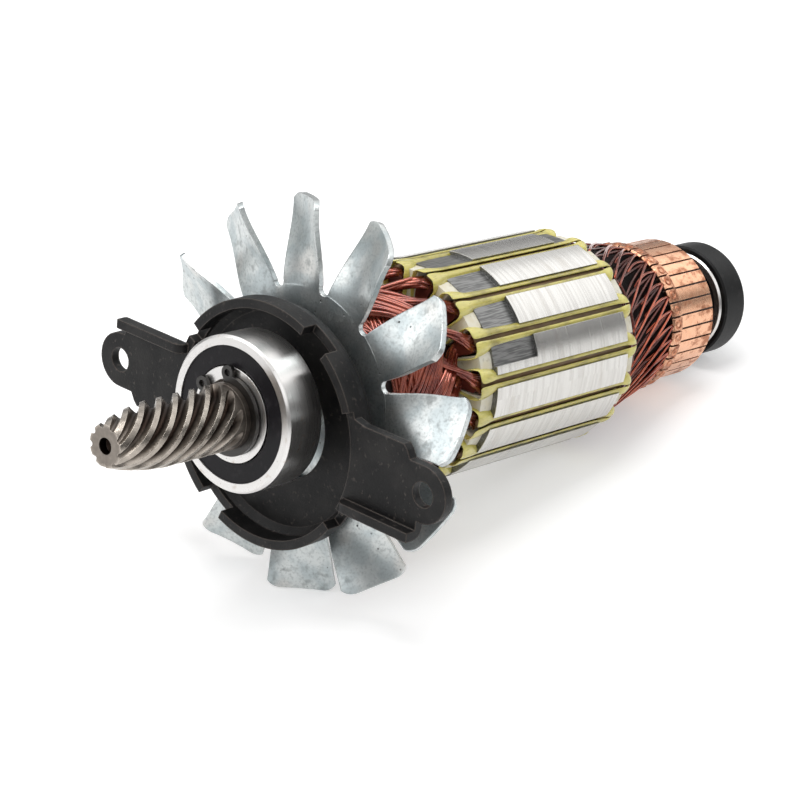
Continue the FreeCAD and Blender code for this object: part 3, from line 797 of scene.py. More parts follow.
@dataclass(frozen=True)
class Finishes:
    """Every finish of the armature, built once."""

    made: dict[str, bpy.types.Material]

    @classmethod
    def build(cls, shaft: ShaftFrame, sizes: "Sizes") -> "Finishes":
        """Builds all the materials.

        Args:
            shaft: The shaft's frame.
            sizes: Sizes read from the frame.

        Returns:
            The materials by name.
        """
        finishes = (
            OiledSteel(shaft, "oiled_steel", sizes.pinion_tip, sizes.pinion_rear),
            GroundSteel(shaft, "ground_steel"),
            GroundSteel(shaft, "turned_steel", (0.50, 0.49, 0.47), (0.22, 0.17, 0.13), 0.34),
            GroundSteel(shaft, "spring_steel", (0.07, 0.068, 0.066), (0.12, 0.10, 0.08), 0.34),
            BlackSheet(shaft, "black_sheet"),
            ZincPlate(shaft, "zinc_plate"),
            Laminations(shaft, "laminations", sizes.stack_radius),
            BareCopper(shaft, "bare_copper", sizes.track_front, sizes.track_rear),
            Enamel(shaft, "enamelled_wire"),
            Enamel(shaft, "lead_wire", (0.22, 0.034, 0.016), (0.46, 0.11, 0.055), 0.9, 0.2, 0.3),
            Enamel(shaft, "dark_wire", (0.07, 0.013, 0.008), (0.15, 0.03, 0.018), 0.5, 0.28, 0.2),
            # Painted shade: near black stands in for the shade between the front winding's wires.
            Enamel(shaft, "winding_core", (0.012, 0.004, 0.003), (0.03, 0.007, 0.005), 0.0, 0.6, 0.0),
            Enamel(shaft, "coil_ends", (0.09, 0.018, 0.011), (0.15, 0.032, 0.018), 0.4, 0.4, 0.2),
            Varnish(shaft, "dark_varnish"),
            Paper(shaft, "yellow_paper", sizes.stack_front, sizes.stack_rear),
            Plastic(shaft, "cream_plastic", (0.80, 0.77, 0.66), (0.70, 0.62, 0.42), 0.42),
            Plastic(shaft, "brown_fibre", (0.17, 0.10, 0.045), (0.26, 0.17, 0.075), 0.5),
            Plastic(shaft, "dark_moulding", (0.035, 0.022, 0.016), (0.07, 0.04, 0.025), 0.5),
            Enamel(shaft, "fused_copper", (0.34, 0.115, 0.06), (0.62, 0.29, 0.17), 0.95, 0.3, 0.0),
            Rubber(shaft, "black_rubber"),
            Rubber(shaft, "seal_rubber", (0.010, 0.009, 0.011), (0.034, 0.031, 0.034), 0.34),
        )
        return cls({finish.name: finish.material() for finish in finishes})

    def __getitem__(self, name: str) -> bpy.types.Material:
        """A finish by its name."""
        return self.made[name]


NODE_FINISHES = {
    "armature_shaft": "oiled_steel",
    "retaining_ring": "spring_steel",
    "drive_bearing_inner_ring": "ground_steel",
    "drive_bearing_outer_ring": "ground_steel",
    "drive_bearing_balls": "ground_steel",
    "drive_bearing_cage": "turned_steel",
    "drive_bearing_front_seal": "seal_rubber",
    "drive_bearing_rear_seal": "seal_rubber",
    "bearing_spacer": "turned_steel",
    "retainer_bracket": "black_sheet",
    "cooling_fan": "zinc_plate",
    "fan_hub": "turned_steel",
    "shaft_sleeve": "cream_plastic",
    "lamination_stack": "laminations",
    "front_end_plate": "cream_plastic",
    "rear_end_plate": "cream_plastic",
    "slot_liners": "yellow_paper",
    "slot_wedges": "brown_fibre",
    "slot_coils": "coil_ends",
    "front_winding": "winding_core",
    "front_winding_bundles": "enamelled_wire",
    "rear_winding": "dark_varnish",
    "commutator_leads": "lead_wire",
    "commutator_bars": "bare_copper",
    "commutator_separators": "dark_moulding",
    "commutator_core": "dark_moulding",
    "tail_bearing_inner_ring": "ground_steel",
    "tail_bearing_outer_ring": "ground_steel",
    "tail_bearing_balls": "ground_steel",
    "tail_bearing_cage": "turned_steel",
    "tail_bearing_front_seal": "seal_rubber",
    "tail_bearing_rear_seal": "seal_rubber",
    "bearing_boot": "black_rubber",
}


@dataclass(frozen=True)
class Sizes:
    """Distances along the shaft and radii of the frame's nodes, in millimetres."""

    pinion_tip: float
    pinion_rear: float
    stack_front: float
    stack_rear: float
    stack_radius: float
    liner_front: float
    liner_rear: float
    winding_front: float
    riser_front: float
    track_front: float
    track_rear: float
    track_radius: float
    lowest: float
    slot_angle: float
    slots: int = 16
    bars: int = 32
    riser_length: float = 4.7

    @staticmethod
    def spans(shaft: ShaftFrame, node: str) -> tuple[float, float, float]:
        """Where a node starts and ends along the shaft, and how far out it reaches.

        Args:
            shaft: The shaft's frame.
            node: Name of a node of the frame.

        Returns:
            Its start, end and largest radius.
        """
        corners = [vertex.co / MM for vertex in frame["nodes"][node].data.vertices]
        along = [corner.dot(shaft.along) for corner in corners]
        radii = [math.hypot(corner.dot(shaft.side), corner.dot(shaft.up)) for corner in corners]
        return min(along), max(along), max(radii)

    @classmethod
    def measure(cls, shaft: ShaftFrame) -> "Sizes":
        """Reads the sizes from the frame.

        Args:
            shaft: The shaft's frame.

        Returns:
            The sizes.
        """
        stack_front, stack_rear, stack_radius = cls.spans(shaft, "lamination_stack")
        liner_front, liner_rear, _ = cls.spans(shaft, "slot_liners")
        winding_front, _, _ = cls.spans(shaft, "front_winding")
        riser_front, track_rear, _ = cls.spans(shaft, "commutator_bars")
        _, _, separator_radius = cls.spans(shaft, "commutator_separators")
        pinion_tip, _, _ = cls.spans(shaft, "armature_shaft")
        ring_front, _, _ = cls.spans(shaft, "retaining_ring")
        return cls(
            pinion_tip=pinion_tip,
            pinion_rear=ring_front,
            stack_front=stack_front,
            stack_rear=stack_rear,
            stack_radius=stack_radius,
            liner_front=liner_front,
            liner_rear=liner_rear,
            winding_front=winding_front,
            riser_front=riser_front,
            track_front=riser_front + cls.riser_length,
            track_rear=track_rear,
            track_radius=separator_radius + 0.6,
            lowest=min(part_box(node)[0].z for node in frame["nodes"]) / MM,
            slot_angle=TOOTH_ANGLE + 180.0 / cls.slots,
        )


def joined_mesh(name: str, parts: Iterable[MeshPart]) -> bpy.types.Object:
    """Makes one object from parts.

    Args:
        name: The object's name.
        parts: Corners and faces of each part.

    Returns:
        The object, linked to the scene and smooth.
    """
    corners: list[Vector] = []
    faces: list[tuple[int, ...]] = []
    for part_corners, part_faces in parts:
        first = len(corners)
        corners.extend(part_corners)
        faces.extend(tuple(first + index for index in face) for face in part_faces)
    mesh = bpy.data.meshes.new(name)
    mesh.from_pydata(corners, [], faces)
    mesh.update()
    mesh.shade_smooth()
    made = bpy.data.objects.new(name, mesh)
    bpy.context.scene.collection.objects.link(made)
    return made


def ring_faces(rings: int, sides: int) -> list[tuple[int, ...]]:
    """Faces between closed rings of corners that follow one another.

    Args:
        rings: How many rings there are.
        sides: How many corners each ring has.

    Returns:
        The faces, by number of corner.
    """
    return [
        (
            ring * sides + side, ring * sides + (side + 1) % sides,
            (ring + 1) * sides + (side + 1) % sides, (ring + 1) * sides + side,
        )
        for ring in range(rings - 1)
        for side in range(sides)
    ]


def radius_at(outline: Sequence[tuple[float, float]], share: float) -> float:
    """Radius of an outline at a share of its length, from 0 to 1.

    Args:
        outline: Shares and radii, in order.
        share: Where to read it.

    Returns:
        The radius, in the outline's unit.
    """
    for (low, low_radius), (high, high_radius) in zip(outline, outline[1:]):
        if share <= high:
            return low_radius + (high_radius - low_radius) * (share - low) / (high - low)
    return outline[-1][1]


def tube(path: Sequence[Vector], radius: float, sides: int) -> MeshPart:
    """Corners and faces of a round wire along a path.

    Args:
        path: Places along the wire, in metres.
        radius: The wire's radius in metres.
        sides: How many sides its section has.

    Returns:
        Corners and faces, closed at both ends.
    """
    corners: list[Vector] = []
    normal = (path[1] - path[0]).orthogonal().normalized()
    count = len(path)
    for index, place in enumerate(path):
        ahead = path[min(index + 1, count - 1)] - path[max(index - 1, 0)]
        ahead.normalize()
        normal = (normal - ahead * normal.dot(ahead)).normalized()
        across = ahead.cross(normal)
        for side in range(sides):
            turn = 2.0 * math.pi * side / sides
            corners.append(place + (normal * math.cos(turn) + across * math.sin(turn)) * radius)
    faces = ring_faces(count, sides)
    faces.append(tuple(reversed(range(sides))))
    faces.append(tuple(range((count - 1) * sides, count * sides)))
    return corners, faces


def turned(shaft: ShaftFrame, profile: Sequence[tuple[float, float]], sides: int) -> MeshPart:
    """Corners and faces of a skin turned about the shaft.

    Args:
        shaft: The shaft's frame.
        profile: Distances along the shaft and radii, in millimetres.
        sides: How many sides it has.

    Returns:
        Corners and faces.
    """
    corners = [
        shaft.point(x, radius, 360.0 * side / sides)
        for x, radius in profile
        for side in range(sides)
    ]
    faces = []
    for ring in range(len(profile) - 1):
        for side in range(sides):
            beside = (side + 1) % sides
            here, there = ring * sides, (ring + 1) * sides
            faces.append((here + side, there + side, there + beside, here + beside))
    return corners, faces


def dress(
    made: bpy.types.Object, material: bpy.types.Material, body: Body, slot: str, *nodes: str,
) -> bpy.types.Object:
    """Gives a piece its finish, its body and the nodes that it stands for.

    Args:
        made: The piece.
        material: Its finish.
        body: The body that it rides on.
        slot: The record's slot that its finish comes from; not used.
        nodes: Nodes that it replaces.

    Returns:
        The piece.
    """
    made.data.materials.append(material)
    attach(made, body.value)
    if nodes:
        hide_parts(*nodes)
    log.info("%s: %d faces", made.name, len(made.data.polygons))
    return made


@dataclass
class RotorPiece:
    """A piece that is built round the shaft and turns with the rotor."""

    shaft: ShaftFrame
    sizes: Sizes
    name: ClassVar[str]
    finish: ClassVar[str]
    slot: ClassVar[str]
    replaces: ClassVar[tuple[str, ...]] = ()

    def parts(self) -> list[MeshPart]:
        """Corners and faces of each of its parts."""
        raise NotImplementedError

    def build(self, finishes: Finishes) -> bpy.types.Object:
        """Makes the piece and dresses it.

        Args:
            finishes: The armature's finishes.

        Returns:
            The piece.
        """
        made = joined_mesh(self.name, self.parts())
        return dress(made, finishes[self.finish], Body.ROTOR, self.slot, *self.replaces)


@dataclass
class FrontWinding(RotorPiece):
    """Wires that turn over at the fan end, coil over coil.

    Every coil runs from the bottom of one slot, over the dome, to the top of a slot almost opposite,
    as a flat belt of two rows of wires.
    """

    name = "front_winding_wires"
    finish = "enamelled_wire"
    slot = "copper_wire"
    replaces = ("front_winding_bundles",)
    pitch_slots: int = 7
    columns: int = 8
    rows: int = 2
    wire_radius: float = 0.52
    column_pitch: float = 1.12
    row_pitch: float = 0.95
    belt_front: float = 3.2
    layer_step: float = 0.50
    slot_inside: float = 3.0
    slot_row_step: float = 2.2
    belt_spread: float = 8.5
    bottom_radius: float = 20.4
    top_radius: float = 26.4
    steps: int = 34
    sides: int = 7
    seed: int = 7

    def wire_path(
        self, coil: int, column: int, row: int, layer: float, chance: random.Random,
    ) -> list[Vector]:
        """Places along one wire of one coil.

        Args:
            coil: Number of the coil's first slot.
            column: The wire's place across its belt.
            row: The wire's place in its belt's thickness.
            layer: How far out this coil lies, in millimetres.
            chance: Source of small differences.

        Returns:
            Places in metres.
        """
        slot_step = 360.0 / self.sizes.slots
        first = self.sizes.slot_angle + coil * slot_step
        reach = self.pitch_slots * slot_step
        mouth = self.sizes.liner_front
        front = self.sizes.winding_front + self.belt_front + column * self.column_pitch
        front += chance.uniform(-0.3, 0.3)
        across = (column + 0.5) / self.columns - 0.5
        lift = row * self.row_pitch + chance.uniform(-0.15, 0.35)
        ease_start = chance.uniform(0.9, 1.15)
        spread = across * self.belt_spread + chance.uniform(-0.8, 0.8)
        inside = mouth + self.slot_inside
        row_shift = self.slot_row_step * row
        places = [self.shaft.point(inside, self.bottom_radius + row_shift, first + spread * 0.9)]
        for step in range(self.steps + 1):
            part = step / self.steps
            arch = math.sin(math.pi * part)
            rise = arch ** (0.86 * ease_start)
            x = mouth + 0.6 + (front - mouth) * rise
            share = (x - self.sizes.winding_front) / (mouth - self.sizes.winding_front)
            body = radius_at(WINDING_DOME, min(1.0, max(0.0, share))) + layer + lift
            slot_radius = self.bottom_radius + (self.top_radius - self.bottom_radius) * part + lift
            blend = min(1.0, arch * 1.9)
            blend = blend * blend * (3.0 - 2.0 * blend)
            radius = slot_radius + (body - slot_radius) * blend
            tight = (1.0 - arch) ** 3
            sweep = part - 0.035 * math.sin(2.0 * math.pi * part)
            places.append(self.shaft.point(x, radius, first + reach * sweep + spread * tight))
        end = first + reach
        places.append(self.shaft.point(inside, self.top_radius - row_shift, end + spread * 0.9))
        return places

    def parts(self) -> list[MeshPart]:
        """Corners and faces of every wire.

        Returns:
            The parts, in metres.
        """
        chance = random.Random(self.seed)
        half = self.sizes.slots // 2
        parts = []
        for coil in range(self.sizes.slots):
            layer = (coil % half + 0.5 * (coil // half)) * self.layer_step
            for column in range(self.columns):
                for row in range(self.rows):
                    path = self.wire_path(coil, column, row, layer, chance)
                    parts.append(tube(path, self.wire_radius * MM, self.sides))
        return parts


@dataclass
class WindingCore(RotorPiece):
    """Body that fills the space under the front winding's wires, coloured near black as painted shade in the gaps
    between them.
    """

    name = "front_winding_core"
    finish = "winding_core"
    slot = "copper_wire"
    replaces = ("front_winding",)
    depth: float = 0.75
    sides: int = 64

    def parts(self) -> list[MeshPart]:
        """Corners and faces of the body, turned about the shaft.

        Returns:
            The parts, in metres.
        """
        front = self.sizes.winding_front
        length = self.sizes.liner_front - front
        hole = WINDING_DOME[0][1] / 2.0
        ends = [(0.0, hole), *WINDING_DOME, (1.0, hole)]
        profile = [(front + share * length, radius - self.depth) for share, radius in ends]
        return [turned(self.shaft, profile, self.sides)]


@dataclass
class RearLeads(RotorPiece):
    """Coil ends that cross over the varnished winding to the commutator's risers."""

    name = "riser_leads"
    finish = "lead_wire"
    slot = "copper_wire"
    replaces = ("commutator_leads",)
    radius: float = 0.40
    steps: int = 16
    sides: int = 8
    seed: int = 11
    long_slant: float = 36.0
    short_slant: float = 13.0
    short_share: float = 0.62

    def parts(self) -> list[MeshPart]:
        """Corners and faces of every lead.

        Returns:
            The parts, in metres.
        """
        chance = random.Random(self.seed)
        front = self.sizes.liner_rear + 1.5
        rear = self.sizes.riser_front + 0.8
        step = 360.0 / self.sizes.bars
        parts = []
        for bar in range(self.sizes.bars):
            end = TOOTH_ANGLE + bar * step
            for slant, length, lift, dive, curve in (
                (self.long_slant, 1.0, 0.55, 0.0, 1.0),
                (self.short_slant, self.short_share, 0.35, 1.4, 2.2),
            ):
                slant += chance.uniform(-3.0, 3.0)
                path = []
                for index in range(self.steps + 1):
                    part = index / self.steps
                    x = rear + (front - rear) * length * part
                    share = (x - front) / (rear - front)
                    bow = 0.6 * math.sin(math.pi * part)
                    radius = radius_at(REAR_DRUM, min(1.0, max(0.0, share))) + lift + bow - dive * part ** 4
                    path.append(self.shaft.point(x, radius, end + slant * part ** curve))
                parts.append(tube(path, self.radius * MM, self.sides))
        return parts


@dataclass
class CoilEnds(RotorPiece):
    """Dark coil ends round the rear winding beside the stack, and dark leads under the bright ones."""

    name = "rear_coil_ends"
    finish = "dark_wire"
    slot = "copper_wire"
    lead_radius: float = 0.4
    lead_slants: tuple[float, ...] = (31.0, 22.0)
    count: int = 70
    radius: float = 0.5
    depth: float = 3.6
    end_dive: float = 1.6
    steps: int = 24
    sides: int = 6
    seed: int = 17

    def under_lead(self, angle: float, slant: float) -> MeshPart:
        """Corners and faces of one dark lead that lies on the drum.

        Args:
            angle: Its place at the riser, in degrees.
            slant: How far it turns about the shaft on its way to the stack.

        Returns:
            Corners and faces.
        """
        front, rear = self.sizes.liner_rear, self.sizes.riser_front
        path = []
        for index in range(self.steps + 1):
            part = index / self.steps
            radius = radius_at(REAR_DRUM, 1.0 - part) + self.lead_radius * 0.5
            path.append(self.shaft.point(rear + (front - rear) * part, radius, angle + slant * part))
        return tube(path, self.lead_radius * MM, self.sides)

    def parts(self) -> list[MeshPart]:
        """Corners and faces of every strand.

        Returns:
            The parts, in metres.
        """
        chance = random.Random(self.seed)
        front = self.sizes.liner_rear - 1.6
        parts = []
        for _ in range(self.count):
            start = chance.uniform(0.0, 360.0)
            sweep = chance.uniform(50.0, 110.0) * chance.choice((-1.0, 1.0))
            near = front + chance.uniform(0.0, self.depth)
            far = near + chance.uniform(0.3, 1.8)
            lift = chance.uniform(-0.2, 0.8)
            path = []
            for index in range(self.steps + 1):
                part = index / self.steps
                x = near + (far - near) * part
                share = (x - self.sizes.liner_rear) / (self.sizes.riser_front - self.sizes.liner_rear)
                radius = radius_at(REAR_DRUM, max(0.0, share)) + lift
                radius -= self.end_dive * (2.0 * part - 1.0) ** 6
                path.append(self.shaft.point(x, radius, start + sweep * part))
            parts.append(tube(path, self.radius * MM, self.sides))
        parts.extend(
            self.under_lead(TOOTH_ANGLE + bar * 360.0 / self.sizes.bars, slant + chance.uniform(-4.0, 4.0))
            for bar in range(self.sizes.bars)
            for slant in self.lead_slants
        )
        return parts


@dataclass
class WedgeStrips(RotorPiece):
    """Brown strips that show between the paper's two flaps."""

    name = "wedge_strips"
    finish = "brown_fibre"
    slot = "brown_wedge"
    replaces = ("slot_wedges",)
    half_width: float = 1.15
    top: float = 28.65
    bottom: float = 27.5
    bevel_width: float = 0.4
    bevel_height: float = 0.3
    overhang: float = 4.4

    def parts(self) -> list[MeshPart]:
        """Corners and faces of every strip.

        Returns:
            The parts, in metres.
        """
        outline = (
            (-self.half_width, self.bottom), (self.half_width, self.bottom),
            (self.half_width, self.top - self.bevel_height), (self.half_width - self.bevel_width, self.top),
            (self.bevel_width - self.half_width, self.top), (-self.half_width, self.top - self.bevel_height),
        )
        count = len(outline)
        faces = [*ring_faces(2, count), tuple(reversed(range(count))), tuple(range(count, 2 * count))]
        ends = (self.sizes.stack_front - self.overhang, self.sizes.stack_rear + self.overhang / 2.0)
        parts = []
        for slot in range(self.sizes.slots):
            angle = self.sizes.slot_angle + slot * 360.0 / self.sizes.slots
            corners = [
                self.shaft.point(x, math.hypot(y, z), angle + math.degrees(math.atan2(y, z)))
                for x in ends
                for y, z in outline
            ]
            parts.append((corners, faces))
        return parts


@dataclass
class SlotPapers(RotorPiece):
    """Folded paper in every slot, open at the fan end and turned down at the other."""

    name = "slot_papers"
    finish = "yellow_paper"
    slot = "yellow_paper"
    replaces = ("slot_liners",)
    thickness: float = 0.42
    front_reach: float = 6.3
    rear_reach: float = 5.2
    tab_half_width: float = 3.35
    seed: int = 5
    in_slot: tuple[tuple[float, float], ...] = (
        (0.62, 28.95), (1.15, 29.1), (1.62, 28.95), (1.68, 28.5), (2.6, 27.4),
        (2.95, 26.6), (2.3, 23.0), (1.6, 19.2), (1.1, 17.1), (0.4, 16.8),
    )
    opened: tuple[tuple[float, float], ...] = (
        (0.35, 29.5), (1.4, 29.5), (2.8, 29.2), (3.6, 28.4), (3.85, 27.2),
        (3.7, 26.2), (2.9, 23.0), (2.1, 19.6), (1.3, 17.5), (0.4, 17.1),
    )
    turned_down: tuple[tuple[float, float], ...] = (
        (0.15, 29.5), (1.3, 29.45), (2.4, 29.2), (3.1, 28.6), (3.35, 27.7),
        (3.2, 26.9), (2.6, 26.3), (1.9, 25.9), (1.2, 25.7), (0.4, 25.6),
    )

    @staticmethod
    def ring(half: Sequence[tuple[float, float]]) -> list[tuple[float, float]]:
        """Corners across the slot, from one flap round the floor to the other flap."""
        return list(half) + [(-y, z) for y, z in reversed(half)]

    @staticmethod
    def inside(line: Sequence[tuple[float, float]], thickness: float) -> list[tuple[float, float]]:
        """The same line moved towards the slot's middle by the paper's thickness.

        Args:
            line: Places across the slot, in millimetres.
            thickness: How far to move it.

        Returns:
            The moved line.
        """
        moved = []
        last = len(line) - 1
        for index, (y, z) in enumerate(line):
            before, after = line[max(index - 1, 0)], line[min(index + 1, last)]
            across, out = after[0] - before[0], after[1] - before[1]
            size = math.hypot(across, out) or 1.0
            moved.append((y + out / size * thickness, z - across / size * thickness))
        return moved

    def stations(self) -> list[tuple[float, list[tuple[float, float]], float]]:
        """Distance, outline and drop of the paper's sections.

        Returns:
            The sections, from the fan end.
        """
        front, rear = self.sizes.stack_front, self.sizes.stack_rear
        opened, in_slot, down = self.ring(self.opened), self.ring(self.in_slot), self.ring(self.turned_down)
        half_way = [((a + c) / 2, (b + d) / 2) for (a, b), (c, d) in zip(opened, in_slot)]
        return [
            (front - self.front_reach, opened, 0.0),
            (front - self.front_reach * 0.55, opened, 0.0),
            (front - 0.4, half_way, 0.0),
            (front + 0.8, in_slot, 0.0),
            (rear - 0.8, in_slot, 0.0),
            (rear + 0.4, half_way, 0.0),
            (rear + self.rear_reach * 0.5, down, -0.25),
            (rear + self.rear_reach * 0.9, down, 0.1),
            (rear + self.rear_reach, down, 1.2),
        ]

    def paper(self, slot: int, chance: random.Random) -> MeshPart:
        """Corners and faces of one slot's paper.

        Args:
            slot: Number of the slot.
            chance: Source of small differences.

        Returns:
            Corners and faces.
        """
        angle = self.sizes.slot_angle + slot * 360.0 / self.sizes.slots
        stations = self.stations()
        count = len(stations[0][1])
        wave = [chance.uniform(-0.8, 0.6) for _ in range(count)]
        lean = chance.uniform(-1.5, 1.5)
        corners: list[Vector] = []
        for number, (x, outline, drop) in enumerate(stations):
            for line in (outline, self.inside(outline, -self.thickness)):
                for index, (y, z) in enumerate(line):
                    shift = wave[index] if number == 0 else 0.0
                    if number > 5:
                        round_off = (abs(y) / self.tab_half_width) ** 2 * self.rear_reach * 0.4
                        shift = -round_off * (number - 5) / 3.0
                    turn = math.degrees(math.atan2(-y, z))
                    if number < 2:
                        turn += lean
                    corners.append(self.shaft.point(x + shift, math.hypot(y, z) - drop, angle + turn))
        ring = 2 * count
        faces: list[tuple[int, ...]] = []
        for number in range(len(stations) - 1):
            here, there = number * ring, (number + 1) * ring
            for index in range(count - 1):
                faces.append((here + index, here + index + 1, there + index + 1, there + index))
                low, high = here + count + index, there + count + index
                faces.append((low + 1, low, high, high + 1))
            for edge in (0, count - 1):
                rim = (here + edge, there + edge, there + count + edge, here + count + edge)
                faces.append(rim if edge == 0 else tuple(reversed(rim)))
        for start, flip in ((0, False), ((len(stations) - 1) * ring, True)):
            for index in range(count - 1):
                end = (start + index, start + count + index, start + count + index + 1, start + index + 1)
                faces.append(tuple(reversed(end)) if flip else end)
        return corners, faces

    def build(self, finishes: Finishes) -> bpy.types.Object:
        """Makes the papers and rounds their folds.

        Args:
            finishes: The armature's finishes.

        Returns:
            The papers, as one piece.
        """
        made = super().build(finishes)
        rounding = made.modifiers.new("rounding", "SUBSURF")
        rounding.levels = 1
        rounding.render_levels = 2
        return made

    def parts(self) -> list[MeshPart]:
        """Corners and faces of every paper."""
        chance = random.Random(self.seed)
        return [self.paper(slot, chance) for slot in range(self.sizes.slots)]


@dataclass
class FusedSpots(RotorPiece):
    """Round fused spots where the leads are welded into the risers."""

    name = "fused_spots"
    finish = "fused_copper"
    slot = "bare_copper"
    radius: float = 1.4
    height: float = 0.28
    riser_height: float = 1.15
    sides: int = 20
    seed: int = 3

    def spot(self, angle: float, x: float, size: float) -> MeshPart:
        """Corners and faces of one dished spot.

        Args:
            angle: Its place about the shaft, in degrees.
            x: Its place along the shaft, in millimetres.
            size: Its radius in millimetres.

        Returns:
            Corners and faces.
        """
        seat = self.sizes.track_radius + self.riser_height
        rings = ((1.0, -0.35), (0.95, 0.0), (0.78, self.height), (0.55, 0.1), (0.3, -0.02))
        centre = self.shaft.point(x, seat, angle)
        outward = (centre - self.shaft.point(x, 0.0, angle)).normalized()
        along = self.shaft.along
        around = outward.cross(along)
        corners = []
        for share, lift in rings:
            for side in range(self.sides):
                turn = 2.0 * math.pi * side / self.sides
                across = (along * math.cos(turn) + around * math.sin(turn)) * (share * size * MM)
                corners.append(centre + across + outward * (lift * MM))
        faces = ring_faces(len(rings), self.sides)
        last = (len(rings) - 1) * self.sides
        faces.append(tuple(range(last, last + self.sides)))
        faces.append(tuple(reversed(range(self.sides))))
        return corners, faces

    def parts(self) -> list[MeshPart]:
        """Corners and faces of every spot.

        Returns:
            The parts, in metres.
        """
        chance = random.Random(self.seed)
        middle = self.sizes.riser_front + self.sizes.riser_length / 2.0
        step = 360.0 / self.sizes.bars
        return [
            self.spot(
                TOOTH_ANGLE + bar * step + chance.uniform(-0.6, 0.6),
                middle + chance.uniform(-0.2, 0.2),
                self.radius * chance.uniform(0.9, 1.05),
            )
            for bar in range(self.sizes.bars)
        ]


@dataclass
class CarriedNodes:
    """The frame's own nodes, which keep their shape and get their finishes."""

    finishes: Finishes

    def dress_all(self) -> None:
        """Assigns every node's finish."""
        for name, node in frame["nodes"].items():
            node.data.materials.clear()
            node.data.materials.append(self.finishes[NODE_FINISHES[name]])
            log.info("%s: %s", name, NODE_FINISHES[name])

    @staticmethod
    def slot_of(name: str) -> str:
        """The record's slot of a node."""
        rows = frame["record"]["subparts"]
        return next(row["material_slot"] for row in rows if row["node"] == name)


@dataclass(frozen=True)
class Lamp:
    """One soft rectangular lamp, with places and sizes in metres and its power in watts."""

    name: str
    place: Triple
    aim: Triple
    size: tuple[float, float]
    power: float

    def add(self) -> None:
        """Hangs the lamp in the scene."""
        data = bpy.data.lights.new(self.name, "AREA")
        data.shape = "RECTANGLE"
        data.size, data.size_y = self.size
        data.energy = self.power
        made = bpy.data.objects.new(self.name, data)
        bpy.context.scene.collection.objects.link(made)
        made.location = self.place
        made.rotation_mode = "QUATERNION"
        made.rotation_quaternion = (Vector(self.aim) - Vector(self.place)).to_track_quat("-Z", "Y")


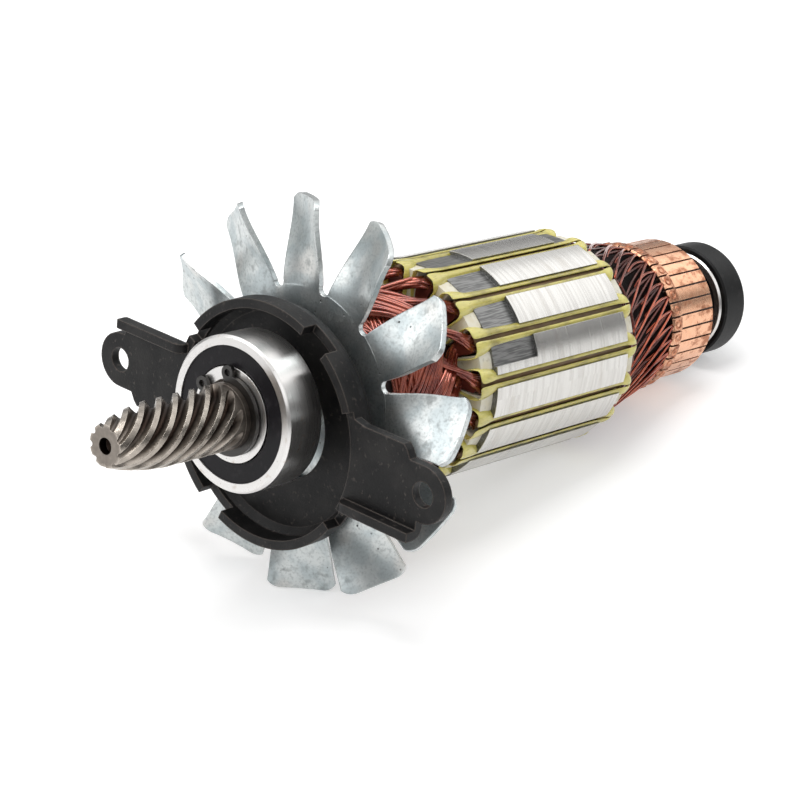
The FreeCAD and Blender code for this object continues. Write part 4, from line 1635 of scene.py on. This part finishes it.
@dataclass
class Studio:
    """Camera, lamps, floor and backdrop."""

    sizes: Sizes
    camera_place: Triple = (-0.416753, -0.433548, 0.304966)
    camera_aim: Triple = (0.064678, 0.00783, -0.025398)
    camera_roll: float = -2.04
    focal_pixels: float = 2714.0
    lamps: tuple[Lamp, ...] = (
        Lamp("overhead", (0.06, 0.06, 1.0), (0.06, 0.0, 0.0), (0.6, 0.6), 5.6),
        Lamp("left_high", (-0.70, 0.55, 0.70), (0.0, 0.0, 0.0), (1.2, 1.0), 5.6),
        Lamp("front_high", (-0.55, -0.65, 0.75), (0.0, 0.0, 0.0), (0.8, 0.8), 2.4),
        Lamp("right_rear", (0.90, -0.30, 0.55), (0.08, 0.0, 0.0), (1.2, 0.8), 2.2),
    )
    floor_side: float = 4.0
    floor_gap: float = 0.0002
    floor_colour: Colour = (0.84, 0.84, 0.84)
    floor_glow: float = 0.38
    fill_level: float = 0.34
    horizon_level: float = 0.16
    horizon_edge: tuple[float, float] = (0.08, 0.40)
    room_level: float = 0.35
    room_edge: tuple[float, float] = (-0.6, 0.25)

    def add_camera(self) -> None:
        """Places the camera where the photograph was taken."""
        data = bpy.data.cameras.new("camera")
        data.sensor_width = SENSOR_MM
        data.lens = SENSOR_MM * self.focal_pixels / PICTURE_SIDE
        made = bpy.data.objects.new("camera", data)
        bpy.context.scene.collection.objects.link(made)
        place = Vector(self.camera_place)
        aim = (Vector(self.camera_aim) - place).to_track_quat("-Z", "Y")
        roll = Matrix.Rotation(math.radians(self.camera_roll), 4, "Z")
        made.matrix_world = Matrix.Translation(place) @ aim.to_matrix().to_4x4() @ roll
        bpy.context.scene.camera = made

    def add_floor(self) -> None:
        """Lays the pale floor, which shows white and keeps the soft shadows."""
        half = self.floor_side / 2.0
        level = self.sizes.lowest * MM - self.floor_gap
        mesh = bpy.data.meshes.new("floor")
        corners = [(-half, -half, level), (half, -half, level), (half, half, level), (-half, half, level)]
        mesh.from_pydata(corners, [], [(0, 1, 2, 3)])
        made = bpy.data.objects.new("floor", mesh)
        bpy.context.scene.collection.objects.link(made)
        material = bpy.data.materials.new("pale_floor")
        nodes = Nodes(material)
        matt = nodes.node("ShaderNodeBsdfDiffuse", {}, {"Color": self.floor_colour})
        glow = nodes.node("ShaderNodeEmission", {}, {"Strength": nodes.seen_ray() * self.floor_glow})
        both = nodes.node("ShaderNodeAddShader", {}, {0: matt.outputs[0], 1: glow.outputs[0]})
        nodes.node("ShaderNodeOutputMaterial", {}, {"Surface": both.outputs[0]})
        mesh.materials.append(material)

    def add_world(self) -> None:
        """Surrounds the object with white above a dim horizon, dimmer towards the camera."""
        world = bpy.data.worlds.new("surroundings")
        bpy.context.scene.world = world
        nodes = Nodes(world)
        looking = Vector(self.camera_aim) - Vector(self.camera_place)
        looking.z = 0.0
        looking.normalize()
        direction = nodes.node("ShaderNodeTexCoord").outputs["Generated"]

        def reach(way: Sequence[float]) -> Value:
            """Share of the direction that points one way.

            Args:
                way: The way, of length 1.

            Returns:
                The share, from -1 to 1.
            """
            inputs = {0: direction, 1: tuple(way)}
            made = nodes.node("ShaderNodeVectorMath", {"operation": "DOT_PRODUCT"}, inputs)
            return Value(nodes, made.outputs["Value"])

        height = reach((0.0, 0.0, 1.0)).ease(*self.horizon_edge)
        behind = reach(looking).ease(*self.room_edge)
        backdrop = height * (1.0 - self.horizon_level) + self.horizon_level
        backdrop = backdrop * (behind * (1.0 - self.room_level) + self.room_level)
        seen = nodes.seen_ray()
        strength = seen * backdrop + (1.0 - seen) * self.fill_level
        sky = nodes.node("ShaderNodeBackground", {}, {"Color": (1.0, 1.0, 1.0), "Strength": strength})
        nodes.node("ShaderNodeOutputWorld", {}, {"Surface": sky.outputs[0]})

    def build(self) -> None:
        """Sets up the whole studio."""
        self.add_camera()
        self.add_floor()
        self.add_world()
        for lamp in self.lamps:
            lamp.add()
        bpy.context.scene.view_settings.view_transform = "Standard"


def main() -> None:
    """Dresses the armature and sets the studio round it."""
    logging.basicConfig(level=logging.INFO, format="%(message)s")
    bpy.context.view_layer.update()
    shaft = ShaftFrame.from_joint(frame["joints"][0])
    sizes = Sizes.measure(shaft)
    finishes = Finishes.build(shaft, sizes)
    CarriedNodes(finishes).dress_all()
    for piece in (FrontWinding, WindingCore, RearLeads, CoilEnds, WedgeStrips, SlotPapers, FusedSpots):
        piece(shaft, sizes).build(finishes)
    Studio(sizes).build()


if __name__ == "__main__":
    main()
